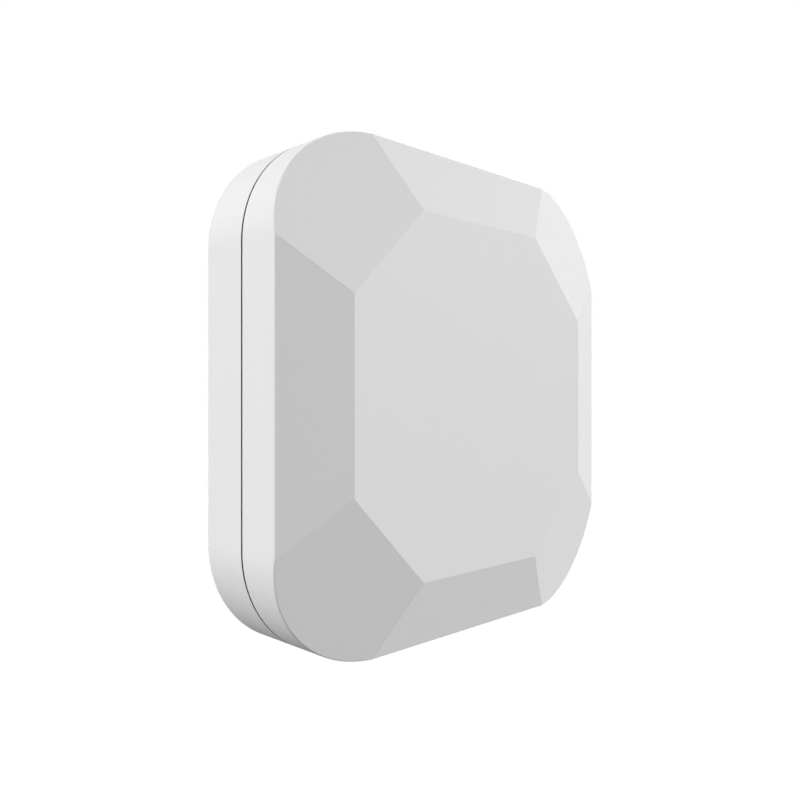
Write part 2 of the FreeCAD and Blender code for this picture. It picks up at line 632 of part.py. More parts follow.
def make_rear_base():
    """The moulded base: an open tray with a tongue, vents, ribs and slots for wall screws."""
    base = new_body("rear_base")
    outline = new_sketch(base, "base_outline")
    draw_square(outline, HALF, "sizes.corner_radius")
    pad(base, outline, "sizes.base_depth")
    near_wall = -number("sizes.back_edge_bevel") / 2
    soften(base, "Chamfer", "sizes.back_edge_bevel",
           lambda edge: edge.BoundBox.YMin > near_wall, "back_edge_bevels")
    tongue = new_sketch(base, "tongue_outline", "sizes.base_depth")
    tongue_cut = "(sizes.skirt_thickness + sizes.tongue_clearance)"
    draw_square(tongue, f"({HALF} - {tongue_cut})", f"(sizes.corner_radius - {tongue_cut})")
    pad(base, tongue, "sizes.tongue_height")
    inside = new_sketch(base, "tray_inside", "sizes.floor_thickness")
    draw_square(inside, BASE_INNER_HALF, "(sizes.corner_radius - sizes.base_wall)")
    pocket(base, inside, towards_front=True)
    vent = new_sketch(base, "vent_slot", plane="XY_Plane")
    first_vent = "((1 - sizes.vent_count) / 2 * sizes.vent_pitch)"
    left = f"({first_vent} - sizes.vent_width / 2)"
    right = f"({first_vent} + sizes.vent_width / 2)"
    near = minus("sizes.vent_setback")
    far = minus("(sizes.vent_setback + sizes.vent_length)")
    draw_polygon(vent, ((left, far), (right, far), (right, near), (left, near)))
    repeat_along_x(base, pocket(base, vent, midplane=True), "sizes.vent_count", "sizes.vent_pitch")
    ribs = new_sketch(base, "floor_ribs", "sizes.floor_thickness")
    half_rib = "sizes.floor_rib_width / 2"
    low_rib = minus("sizes.low_rib_drop")
    screw_half = "(sizes.screw_spacing / 2)"
    spans = (("(-1 * sizes.low_rib_length / 2)", "(sizes.low_rib_length / 2)", low_rib),
             ("(sizes.top_rib_gap / 2)", "(sizes.top_rib_length / 2)", screw_half),
             ("(-1 * sizes.top_rib_length / 2)", "(-1 * sizes.top_rib_gap / 2)", screw_half))
    for left, right, up in spans:
        bottom = f"({up} - {half_rib})"
        top = f"({up} + {half_rib})"
        draw_polygon(ribs, ((left, bottom), (right, bottom), (right, top), (left, top)))
    pad(base, ribs, "sizes.floor_rib_height")
    centres = ((screw_half, "0", False), (minus(screw_half), "0", False),
               ("0", screw_half, True), ("0", minus(screw_half), True))
    rims = new_sketch(base, "slot_rims", "sizes.floor_thickness")
    for across, up, upright in centres:
        draw_slot(rims, (across, up), "(sizes.slot_length + 2 * sizes.slot_rim)",
                  "(sizes.slot_width + 2 * sizes.slot_rim)", upright)
    pad(base, rims, "sizes.slot_rim_height")
    slots = new_sketch(base, "wall_screw_slots")
    for across, up, upright in centres:
        draw_slot(slots, (across, up), "sizes.slot_length", "sizes.slot_width", upright)
    pocket(base, slots, towards_front=True)
    recesses = new_sketch(base, "pad_recesses")
    half_width = "(sizes.pad_recess_width / 2)"
    for up in ("sizes.pad_recess_rise", minus("sizes.pad_recess_rise")):
        low = (minus(half_width), f"({up} - sizes.pad_recess_height / 2)")
        high = (half_width, f"({up} + sizes.pad_recess_height / 2)")
        draw_rounded(recesses, low, high, "sizes.pad_recess_radius")
    pocket(base, recesses, "sizes.pad_recess_depth", towards_front=True)
    return base


def make_snap_arms():
    """Four springy arms on the base, whose hooks sit in front of the ledges in the cover."""
    arms = []
    for side in (1, -1):
        for up in (1, -1):
            arm = doc.addObject("PartDesign::Body", f"snap_arm_{len(arms) + 1}")
            profile = new_sketch(arm, f"snap_arm_{len(arms) + 1}_profile", plane="XY_Plane")
            tip = f"({NOSE_DEPTH} + sizes.nose_length)"
            nose = f"({ARM_OUTSIDE} + sizes.nose_reach)"
            ramp = f"({ARM_INSIDE} + sizes.arm_thickness / 2)"
            draw_polygon(profile, ((ARM_INSIDE, minus("sizes.floor_thickness")),
                                   (ARM_OUTSIDE, minus("sizes.floor_thickness")),
                                   (ARM_OUTSIDE, minus(NOSE_DEPTH)), (nose, minus(NOSE_DEPTH)),
                                   (ramp, minus(tip)), (ARM_INSIDE, minus(tip))))
            pad(arm, profile, "sizes.arm_width", midplane=True)
            turn = None if side > 0 else (Vector(0, 1, 0), 180)
            place(arm, up="sizes.arm_rise" if up > 0 else minus("sizes.arm_rise"), turn=turn)
            arms.append(arm)
    return group("snap_arms", arms)


def make_main_board():
    """The eight-sided board, which follows the cavity of the cover at its own depth."""
    board = new_body("main_board")
    outline = new_sketch(board, "board_outline", BOARD_BACK)
    corners = ((BOARD_HALF, BOARD_SIDE), (BOARD_SIDE, BOARD_HALF))
    points = [(x, z) for x, z in corners]
    points += [(minus(x), z) for x, z in reversed(corners)]
    points += [(minus(x), minus(z)) for x, z in corners]
    points += [(x, minus(z)) for x, z in reversed(corners)]
    draw_polygon(outline, points)
    pad(board, outline, "sizes.board_thickness")
    holes = new_sketch(board, "board_holes", BOARD_BACK)
    for point in mirrored(BOARD_SCREW_X, "sizes.board_screw_z"):
        draw_circle(holes, point, "(sizes.screw_diameter + sizes.screw_hole_clearance)")
    for point in ("sizes.pin_x", "sizes.pin_z"), (minus("sizes.pin_x"), minus("sizes.pin_z")):
        draw_circle(holes, point, "(sizes.pin_diameter + sizes.pin_clearance)")
    pocket(board, holes, towards_front=True)
    isolation = new_sketch(board, "heat_slot", BOARD_BACK)
    inner_left = "(sizes.humidity_sensor_x - sizes.heat_slot_inside / 2)"
    inner_right = "(sizes.humidity_sensor_x + sizes.heat_slot_inside / 2)"
    bottom = "(sizes.humidity_sensor_z - sizes.humidity_sensor_length / 2)"
    inner_top = "(sizes.humidity_sensor_z + sizes.heat_slot_inside / 2)"
    outer_left = f"({inner_left} - sizes.heat_slot_width)"
    outer_right = f"({inner_right} + sizes.heat_slot_width)"
    outer_top = f"({inner_top} + sizes.heat_slot_width)"
    draw_polygon(isolation, ((outer_left, bottom), (inner_left, bottom), (inner_left, inner_top),
                             (inner_right, inner_top), (inner_right, bottom), (outer_right, bottom),
                             (outer_right, outer_top), (outer_left, outer_top)))
    pocket(board, isolation, towards_front=True)
    return board


def make_board_screws():
    """Socket head screws through the board into the bosses."""
    screws = []
    for index, (across, up) in enumerate(mirrored(BOARD_SCREW_X, "sizes.board_screw_z"), 1):
        screw = doc.addObject("PartDesign::Body", f"board_screw_{index}")
        profile = new_sketch(screw, f"board_screw_{index}_profile", plane="XY_Plane")
        head = "(sizes.screw_head_diameter / 2)"
        shank = "(sizes.pilot_diameter / 2)"
        rise = "sizes.screw_head_height"
        tip = "(-1 * sizes.screw_length)"
        draw_polygon(profile, (("0", rise), (head, rise), (head, "0"), (shank, "0"),
                               (shank, tip), ("0", tip)))
        revolve(screw, profile, "Y_Axis")
        recess = new_sketch(screw, f"board_screw_{index}_recess", minus(rise))
        draw_hexagon(recess, "sizes.screw_recess_diameter")
        pocket(screw, recess, "sizes.screw_recess_depth", towards_front=True)
        place(screw, across, BOARD_BACK, up)
        screws.append(screw)
    return group("board_screws", screws)


def make_cell_holder():
    """A tray for two cells side by side, with a finger notch across its rear edges."""
    holder = new_body("cell_holder")
    half_height = f"(({CELL_PITCH} + {BAY_WIDTH}) / 2 + sizes.holder_wall)"
    outline = new_sketch(holder, "holder_outline", HOLDER_BACK)
    draw_rounded(outline, (minus(HOLDER_HALF), f"(sizes.holder_rise - {half_height})"),
                 (HOLDER_HALF, f"(sizes.holder_rise + {half_height})"), "sizes.holder_corner")
    pad(holder, outline, "sizes.holder_height")
    bays = new_sketch(holder, "cell_bays", HOLDER_BACK)
    for side in ("0.5", "-0.5"):
        middle = f"(sizes.holder_rise + {side} * {CELL_PITCH})"
        left = "(-1 * sizes.bay_length / 2)"
        right = "(sizes.bay_length / 2)"
        bottom = f"({middle} - {BAY_WIDTH} / 2)"
        top = f"({middle} + {BAY_WIDTH} / 2)"
        draw_polygon(bays, ((left, bottom), (right, bottom), (right, top), (left, top)))
    pocket(holder, bays, "sizes.holder_height - sizes.holder_floor", towards_front=True)
    notch = new_sketch(holder, "finger_notch", plane="XY_Plane")
    half_notch = "(sizes.notch_width / 2)"
    half_foot = "(sizes.notch_width / 2 - sizes.notch_depth / 2)"
    rear = minus(f"({HOLDER_BACK} - sizes.holder_wall)")
    foot = minus(f"({HOLDER_BACK} + sizes.notch_depth)")
    draw_polygon(notch, ((minus(half_notch), rear), (half_notch, rear), (half_foot, foot),
                         (minus(half_foot), foot)))
    pocket(holder, notch, midplane=True)
    return holder


def make_cell(label, side):
    """One AA cell: can, bevelled ends and positive nub, along X; side turns the nub right or left."""
    cell = new_body(label)
    profile = new_sketch(cell, label + "_profile", plane="XY_Plane")
    radius = "(sizes.cell_diameter / 2)"
    nub = "(sizes.nub_diameter / 2)"
    can_end = "(-1 * sizes.nub_height)"
    bottom = "(-1 * sizes.cell_length)"
    draw_polygon(profile, ((bottom, "0"), (bottom, f"({radius} - sizes.cell_edge)"),
                           (f"({bottom} + sizes.cell_edge)", radius),
                           (f"({can_end} - sizes.cell_edge)", radius),
                           (can_end, f"({radius} - sizes.cell_edge)"), (can_end, nub),
                           ("0", nub), ("0", "0")))
    revolve(cell, profile, "X_Axis")
    up = f"(sizes.holder_rise + {side * 0.5} * {CELL_PITCH})"
    if side > 0:
        place(cell, NUB_END, CELL_DEPTH, up)
    else:
        place(cell, minus(NUB_END), CELL_DEPTH, up, (Vector(0, 1, 0), 180))
    return cell


def make_contact_plates():
    """The flat positive contacts, one at the nub end of each bay."""
    plates = []
    for side in (1, -1):
        up = f"(sizes.holder_rise + {side * 0.5} * {CELL_PITCH})"
        across = f"({side} * (sizes.bay_length / 2 - sizes.plate_thickness / 2))"
        plates.append(box(f"contact_plate_{len(plates) + 1}", across, up, "sizes.plate_thickness",
                          "sizes.plate_width", f"({BAY_FLOOR} - sizes.plate_height)",
                          "sizes.plate_height"))
    return group("positive_contacts", plates)


def make_contact_leaves():
    """The bowed negative contacts, one at the flat end of each cell."""
    leaves = []
    for side in (1, -1):
        leaf = doc.addObject("PartDesign::Body", f"contact_leaf_{len(leaves) + 1}")
        profile = new_sketch(leaf, f"contact_leaf_{len(leaves) + 1}_profile", plane="XY_Plane")
        end = "(sizes.bay_length / 2)"
        tip = f"(sizes.cell_length - {NUB_END} + sizes.cell_rest_gap)"
        foot = minus(BAY_FLOOR)
        crown_low = minus(f"({CELL_DEPTH} + sizes.leaf_crown / 2)")
        crown_high = minus(f"({CELL_DEPTH} - sizes.leaf_crown / 2)")
        top = minus(f"({BAY_FLOOR} - sizes.plate_height)")
        sheet_metal = "sizes.leaf_thickness"
        rise = f"({foot} + 2 * {sheet_metal})"
        draw_polygon(profile, ((end, foot), (end, top), (f"({end} - {sheet_metal})", top),
                               (f"({end} - {sheet_metal})", rise),
                               (f"({tip} + {sheet_metal})", crown_low),
                               (f"({tip} + {sheet_metal})", crown_high),
                               (f"({end} - 3 * {sheet_metal})", f"({top} - {sheet_metal})"),
                               (f"({end} - 4 * {sheet_metal})", f"({top} - {sheet_metal})"),
                               (tip, crown_high), (tip, crown_low),
                               (f"({end} - 2 * {sheet_metal})", foot)))
        pad(leaf, profile, "sizes.leaf_width", midplane=True)
        up = f"(sizes.holder_rise - {side * 0.5} * {CELL_PITCH})"
        place(leaf, up=up, turn=None if side > 0 else (Vector(0, 1, 0), 180))
        leaves.append(leaf)
    return group("negative_contacts", leaves)


def make_foam_barrier():
    """A foam arch on the board that keeps the board's warmth out of the sensing chamber."""
    foam = new_body("foam_barrier")
    outline = new_sketch(foam, "foam_outline", "(sizes.floor_thickness + sizes.foam_clearance)")
    inner = "(sizes.chamber_width / 2)"
    outer = "(sizes.chamber_width / 2 + sizes.foam_thickness)"
    bottom = minus(f"({BOARD_HALF} - sizes.foam_edge)")
    inner_top = minus("sizes.chamber_top")
    outer_top = f"({inner_top} + sizes.foam_thickness)"
    draw_polygon(outline, ((minus(outer), bottom), (minus(inner), bottom), (minus(inner), inner_top),
                           (inner, inner_top), (inner, bottom), (outer, bottom),
                           (outer, outer_top), (minus(outer), outer_top)))
    pad(foam, outline, f"{BOARD_BACK} - sizes.floor_thickness - sizes.foam_clearance")
    return foam


def square_piece(label, across, up, width, length, rear, height, radius=None):
    """A low block between two depths, with round corners or, without a radius, bevelled ones."""
    body = new_body(label)
    outline = new_sketch(body, label + "_outline", rear)
    low = (f"({across} - {width} / 2)", f"({up} - {length} / 2)")
    high = (f"({across} + {width} / 2)", f"({up} + {length} / 2)")
    if radius:
        draw_rounded(outline, low, high, radius)
    else:
        draw_bevelled(outline, low, high, "sizes.part_bevel")
    pad(body, outline, height)
    return body


def rear_rim(depth):
    """A test for the edges that lie on a piece's rear face."""
    level = -number(depth)
    return lambda edge: edge.BoundBox.YMin > level - 1e-4


def make_gas_sensor():
    """The gas sensor: a small base, a metal can with a bevelled rim, and a membrane over its port."""
    width = "sizes.gas_width"
    can_rear = f"({BOARD_BACK} - sizes.gas_base_height - sizes.gas_can_height)"
    base = square_piece("gas_sensor_base", "sizes.gas_x", "sizes.gas_z", width, width,
                        f"({BOARD_BACK} - sizes.gas_base_height)", "sizes.gas_base_height")
    inset = f"({width} - 2 * sizes.gas_can_inset)"
    can = square_piece("gas_sensor_can", "sizes.gas_x", "sizes.gas_z", inset, inset, can_rear,
                       "sizes.gas_can_height", "sizes.gas_can_radius")
    soften(can, "Chamfer", "sizes.part_bevel", rear_rim(can_rear), "gas_can_bevels")
    seat = new_sketch(can, "filter_seat", can_rear)
    draw_circle(seat, ("sizes.gas_x", "sizes.gas_z"), "sizes.filter_diameter")
    pocket(can, seat, "sizes.filter_recess", towards_front=True)
    port_filter = new_body("gas_sensor_filter")
    disc = new_sketch(port_filter, "filter_disc", f"({can_rear} + sizes.filter_recess)")
    draw_circle(disc, ("sizes.gas_x", "sizes.gas_z"), "sizes.filter_diameter")
    thickness = pad(port_filter, disc, "sizes.filter_thickness")
    thickness.Reversed = True
    return base, can, port_filter


def make_switch():
    """The set-up button: moulded body, metal plate, spring dome and the cap that is pushed."""
    middle = ("sizes.switch_x", "sizes.switch_z")
    width = "sizes.switch_width"
    body = square_piece("switch_body", *middle, width, width, SWITCH_TOP, "sizes.switch_height")
    well = new_sketch(body, "switch_well", SWITCH_TOP)
    draw_circle(well, middle, "(sizes.cap_flange + 2 * sizes.cap_clearance)")
    pocket(body, well, "sizes.switch_height - sizes.switch_floor", towards_front=True)
    frame = square_piece("switch_frame", *middle, width, width, SWITCH_PLATE,
                         "sizes.switch_frame_height")
    hole = new_sketch(frame, "switch_frame_hole", SWITCH_PLATE)
    draw_circle(hole, middle, "(sizes.cap_diameter + sizes.cap_clearance)")
    pocket(frame, hole, towards_front=True)
    dome = new_body("switch_dome")
    shell = new_sketch(dome, "dome_profile", plane="XY_Plane")
    rim = "(sizes.cap_flange / 2)"
    crown = "(sizes.dome_crown / 2)"
    thick = "sizes.dome_thickness"
    draw_polygon(shell, (("0", DOME_HEIGHT), (crown, DOME_HEIGHT), (rim, thick), (rim, "0"),
                         (f"({rim} - {thick})", "0"), (crown, f"({DOME_HEIGHT} - {thick})"),
                         ("0", f"({DOME_HEIGHT} - {thick})")))
    revolve(dome, shell, "Y_Axis")
    place(dome, middle[0], SWITCH_FLOOR, middle[1])
    cap = new_body("config_button")
    profile = new_sketch(cap, "cap_profile", plane="XY_Plane")
    radius = "(sizes.cap_diameter / 2)"
    flange = "(sizes.cap_flange / 2)"
    nub = "(sizes.cap_nub / 2)"
    flange_top = "(-1 * sizes.switch_frame_height - sizes.cap_rest_gap)"
    flange_foot = f"({flange_top} - sizes.cap_flange_height)"
    nub_end = f"({SWITCH_PLATE} - {SWITCH_FLOOR} + {DOME_HEIGHT} + sizes.cap_rest_gap)"
    draw_polygon(profile, (("0", "sizes.cap_proud"), (f"({radius} - sizes.part_bevel)", "sizes.cap_proud"),
                           (radius, "(sizes.cap_proud - sizes.part_bevel)"), (radius, flange_top),
                           (flange, flange_top), (flange, flange_foot), (nub, flange_foot),
                           (nub, nub_end), ("0", nub_end)))
    revolve(cap, profile, "Y_Axis")
    place(cap, middle[0], SWITCH_PLATE, middle[1])
    return body, frame, dome, cap


def make_capacitor():
    """The reservoir capacitor: a can with a rolled groove on a bevelled plastic base."""
    middle = ("sizes.capacitor_x", "sizes.capacitor_z")
    width = "sizes.capacitor_base_width"
    base = square_piece("capacitor_base", *middle, width, width,
                        f"({BOARD_BACK} - sizes.capacitor_base_height)",
                        "sizes.capacitor_base_height")
    can = new_body("capacitor_can")
    profile = new_sketch(can, "capacitor_profile", plane="XY_Plane")
    radius = "(sizes.capacitor_diameter / 2)"
    height = "sizes.capacitor_height"
    groove = "sizes.capacitor_groove"
    draw_polygon(profile, (("0", height), (radius, height), (radius, f"(4 * {groove})"),
                           (f"({radius} - {groove})", f"(3 * {groove})"),
                           (radius, f"(2 * {groove})"), (radius, "0"), ("0", "0")))
    revolve(can, profile, "Y_Axis")
    place(can, middle[0], f"({BOARD_BACK} - sizes.capacitor_base_height)", middle[1])
    return base, can


def make_radio():
    """The radio module: its own small board and the shield can on it."""
    middle = ("sizes.radio_x", "sizes.radio_z")
    rear = f"({BOARD_BACK} - sizes.radio_board_height)"
    board = square_piece("radio_board", *middle, "sizes.radio_width", "sizes.radio_length", rear,
                         "sizes.radio_board_height")
    shield_rear = f"({rear} - sizes.shield_height)"
    shield = square_piece("radio_shield", *middle, "(sizes.radio_width - 2 * sizes.shield_inset)",
                          "(sizes.radio_length - 2 * sizes.shield_inset)", shield_rear,
                          "sizes.shield_height", "sizes.shield_radius")
    soften(shield, "Chamfer", "sizes.part_bevel", rear_rim(shield_rear), "shield_bevels")
    return board, shield


def make_antenna():
    """A stamped antenna: one strip on a ground leg and a feed leg, standing on the board edge."""
    antenna = new_body("antenna_strip")
    profile = new_sketch(antenna, "antenna_profile", plane="XY_Plane")
    band = "sizes.antenna_band"
    start = "sizes.antenna_start"
    end = f"({start} + sizes.antenna_length)"
    feed = f"({start} + sizes.antenna_feed)"
    foot = minus(BOARD_BACK)
    top = f"({foot} + sizes.antenna_height)"
    under = f"({top} - {band})"
    draw_polygon(profile, ((start, foot), (start, top), (end, top), (end, under),
                           (f"({feed} + {band})", under), (f"({feed} + {band})", foot),
                           (feed, foot), (feed, under), (f"({start} + {band})", under),
                           (f"({start} + {band})", foot)))
    pad(antenna, profile, "sizes.antenna_thickness", midplane=True)
    place(antenna, up="sizes.antenna_z")
    return antenna


def make_status_light():
    """The status light on the board's front, and the guide that ends at the thinned window."""
    light = box("status_light", "0", "sizes.light_z", "sizes.light_width", "sizes.light_length",
                BOARD_FRONT, "sizes.light_height")
    guide = new_body("light_guide")
    rear = f"({BOARD_FRONT} + sizes.light_height + sizes.guide_gap)"
    round_end = new_sketch(guide, "guide_round", rear)
    draw_circle(round_end, ("0", "sizes.light_z"), "sizes.guide_diameter")
    pad(guide, round_end, f"{COVER_INSIDE} + sizes.window_recess - sizes.guide_gap - {rear}")
    return light, guide


def make_header():
    """The service header: a plastic block with two columns of pins."""
    pitch = "sizes.header_pitch"
    pieces = [box("header_block", "sizes.header_x", "sizes.header_z",
                  f"(sizes.header_columns * {pitch})", f"(sizes.header_rows * {pitch})",
                  f"({BOARD_BACK} - sizes.header_base_height)", "sizes.header_base_height")]
    for column in range(int(number("sizes.header_columns"))):
        for line in range(int(number("sizes.header_rows"))):
            across = f"(sizes.header_x + ({column} - (sizes.header_columns - 1) / 2) * {pitch})"
            up = f"(sizes.header_z + ({line} - (sizes.header_rows - 1) / 2) * {pitch})"
            pieces.append(box(f"header_pin_{column}_{line}", across, up, "sizes.header_pin_width",
                              "sizes.header_pin_width", f"({BOARD_BACK} - sizes.header_pin_height)",
                              "sizes.header_pin_height"))
    header = doc.addObject("Part::MultiFuse", "service_header")
    header.Shapes = pieces
    return header


def make_chip_row(label, count, across, up):
    """A row of small chip parts across the board, centred on a point."""
    chips = []
    for index in range(count):
        middle = f"({across} + ({index} - {(count - 1) / 2}) * sizes.chip_pitch)"
        chips.append(box(f"{label}_{index + 1}", middle, up, "sizes.chip_width", "sizes.chip_length",
                         f"({BOARD_BACK} - sizes.chip_height)", "sizes.chip_height"))
    return group(label, chips)


def make_board_part(name):
    """A small chip part, with an opening to the air if it senses."""
    middle = (f"sizes.{name}_x", f"sizes.{name}_z")
    height = f"sizes.{name}_height"
    rear = f"({BOARD_BACK} - {height})"
    chip = square_piece(name, *middle, f"sizes.{name}_width", f"sizes.{name}_length", rear, height)
    if name in SENSING_HOLE:
        opening = new_sketch(chip, name + "_opening", rear)
        draw_circle(opening, middle, f"sizes.{name}_hole")
        pocket(chip, opening, "sizes.sensing_hole_depth", towards_front=True)
    return chip


pieces = [make_rear_base(), make_snap_arms(), make_front_cover(), make_main_board(),
          make_board_screws(), make_cell_holder(), make_cell("cell_upper", 1),
          make_cell("cell_lower", -1), make_contact_plates(), make_contact_leaves(),
          make_foam_barrier(), make_antenna(), make_header()]
for made in (make_gas_sensor(), make_switch(), make_capacitor(), make_radio(), make_status_light()):
    pieces.extend(made)
for name, *rest in BOARD_PARTS:
    pieces.append(make_board_part(name))
pieces.append(make_chip_row("chip_capacitors", 5, "sizes.controller_chip_x",
                            "(sizes.controller_chip_z + sizes.controller_chip_length / 2"
                            " + sizes.chip_row_gap)"))
pieces.append(make_chip_row("chip_resistors", 4, "(sizes.radio_x - sizes.radio_width)",
                            "(sizes.radio_z - sizes.radio_length / 4)"))
doc.recompute()

for item in doc.Objects:
    if "Invalid" in item.State or "Error" in item.State:
        raise RuntimeError(f"{item.Name} failed: {item.State}")
os.makedirs("parts", exist_ok=True)
for piece in pieces:
    if piece.Shape.isNull() or not piece.Shape.isValid() or not piece.Shape.Solids:
        raise RuntimeError(f"{piece.Label} has no valid shape")
    piece.Shape.exportStep(f"parts/{piece.Label}.step")
    print(f"{piece.Label}: {len(piece.Shape.Solids)} solids, {piece.Shape.Volume:.1f} mm3")
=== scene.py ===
"""The wireless air sensor: finishes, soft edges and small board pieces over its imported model.

Metres, in the frame of the model: X runs to the right and Z up for someone who faces the sensor,
and the wall is the plane Y = 0, so the sensor stands out towards -Y.
"""
import json
import math

import bmesh
import bpy
from mathutils import Matrix, Vector


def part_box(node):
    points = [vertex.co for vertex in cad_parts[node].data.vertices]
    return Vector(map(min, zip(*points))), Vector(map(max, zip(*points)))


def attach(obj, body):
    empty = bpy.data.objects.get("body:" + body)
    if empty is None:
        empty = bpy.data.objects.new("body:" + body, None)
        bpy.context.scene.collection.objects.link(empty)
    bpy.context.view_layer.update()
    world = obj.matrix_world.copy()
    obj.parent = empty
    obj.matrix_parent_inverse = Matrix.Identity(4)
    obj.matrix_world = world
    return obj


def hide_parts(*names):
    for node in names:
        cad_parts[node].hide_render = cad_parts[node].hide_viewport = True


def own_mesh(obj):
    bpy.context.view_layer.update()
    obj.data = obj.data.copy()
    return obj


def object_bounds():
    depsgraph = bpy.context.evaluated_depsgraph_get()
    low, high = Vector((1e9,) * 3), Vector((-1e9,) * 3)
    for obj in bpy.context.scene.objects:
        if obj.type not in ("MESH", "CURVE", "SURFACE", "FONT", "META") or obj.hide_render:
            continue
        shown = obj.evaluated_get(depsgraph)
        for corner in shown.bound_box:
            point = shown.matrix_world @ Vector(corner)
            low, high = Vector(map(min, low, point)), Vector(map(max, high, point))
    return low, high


MM = 0.001

# Camera: close to the sensor, level with its middle, towards its front and left side
CAMERA_PLACE = (-109.68 * MM, -112.07 * MM, -0.42 * MM)
CAMERA_TURN = math.radians(44.616)
CLIP_RANGE = (0.001, 200.0)
PICTURE_WIDTH = 800
FOCAL_LENGTH = 776.8
OPTICAL_CENTRE = (399.33, 399.13)
SENSOR_WIDTH = 36.0

# Lights: bearing round the sensor from its front and height, both in degrees, and strength
LIGHTS = {
    "side_light": (-110.6, 25.5, 3.3),
    "front_light": (21.7, 14.8, 2.13),
    "far_light": (67.0, 23.0, 1.08),
    "back_light": (172.0, 4.0, 1.1),
}
LIGHT_SPREAD = math.radians(30.0)
AMBIENT = 0.02
FULL_WHITE = (1.0, 1.0, 1.0)
FLOOR_DROP = 0.3
FLOOR_HALF = 40.0
FLOOR_SHADE = 0.11
FLOOR_GLOW = 0.92

# Moulded shells: corner rounds, and ease of the front rim and of the other outside edges
OUTSIDE_RADIUS = 19.2 * MM
LARGE_ROUND = 15.0 * MM
CHORD_ANGLES = (0.02, 0.4)
CHORD_CUTS = 2
CHORD_DROP = 0.2 * MM
RIM_EASE = 0.3 * MM
PARTING_EASE = 0.06 * MM
RIM_REACH = 6.5 * MM
EJECTOR_MARK = (1.75 * MM, 0.06 * MM)
EJECTOR_PLACE = (21.0 * MM, 20.5 * MM)
BASE_FLOOR = -1.8 * MM

# Ease of the edges of the nodes that stay hard in the model, millimetres
EASED_NODES = {
    "snap_arms": 0.15, "cell_holder": 0.25, "foam_barrier": 0.3, "switch_body": 0.1,
    "switch_frame": 0.05, "gas_sensor_base": 0.08, "gas_sensor_can": 0.1, "radio_board": 0.04,
    "radio_shield": 0.1, "controller_chip": 0.05, "power_inductor": 0.12,
    "timing_crystal": 0.08, "capacitor_base": 0.12, "config_button": 0.08,
    "antenna_strip": 0.05, "positive_contacts": 0.1, "negative_contacts": 0.04,
    "voc_sensor": 0.06, "humidity_sensor": 0.06, "gas_sensor_filter": 0.06,
    "light_guide": 0.12, "chip_capacitors": 0.05, "chip_resistors": 0.03,
}
WELD = 0.001 * MM
FLAT = math.radians(1.0)
EASED_SHARP = math.radians(40.0)
SHADED_SHARP = math.radians(32.0)

# Small pieces on the rear face of the board
BOARD_BACK = -17.0 * MM
SCREW_ACROSS = 32.6 * MM
SCREW_UP = 14.0 * MM
SCREW_HEAD = (1.9 * MM, 1.5 * MM)
SCREW_SHANK = (0.8 * MM, 3.5 * MM)
SCREW_CROSS = (0.34 * MM, 1.1 * MM, 0.85 * MM)
LAND_RADIUS = 2.15 * MM
LAND_WIDTH = 0.5 * MM
HEADER_FIRST = (29.365 * MM, -11.905 * MM)
HEADER_PITCH = 1.27 * MM
HEADER_BLOCK = 1.3 * MM
HEADER_SEAM = 0.01 * MM
PIN_WIDTH = 0.4 * MM
PIN_HEIGHT = 4.5 * MM
PIN_TIP = 0.35 * MM
PIN_TAPER = 0.5
CHIP_SIZE = (0.8 * MM, 1.6 * MM, 0.7 * MM)
CHIP_END = 0.3 * MM
CHIP_PITCH = 2.2 * MM
CHIP_ROWS = {"chip_capacitors": (-28.4 * MM, -8.0 * MM, 5),
             "chip_resistors": (-26.3 * MM, 28.5 * MM, 4)}
CONTROLLER = (-24.0 * MM, -13.5 * MM)
CONTROLLER_HALF = 3.5 * MM
CONTROLLER_LEADS = 8
CONTROLLER_PITCH = 0.7 * MM
LEAD_HALF = (0.16 * MM, 0.35 * MM)
LEAD_HEIGHT = 0.16 * MM
RADIO = (-9.0 * MM, 31.0 * MM)
RADIO_HALF = 7.0 * MM
RADIO_PADS = 6
RADIO_PITCH = 1.4 * MM
TRACK_WIDTH = 0.28 * MM
POWER_WIDTH = 0.9 * MM
TRACK_HEIGHT = 0.05 * MM

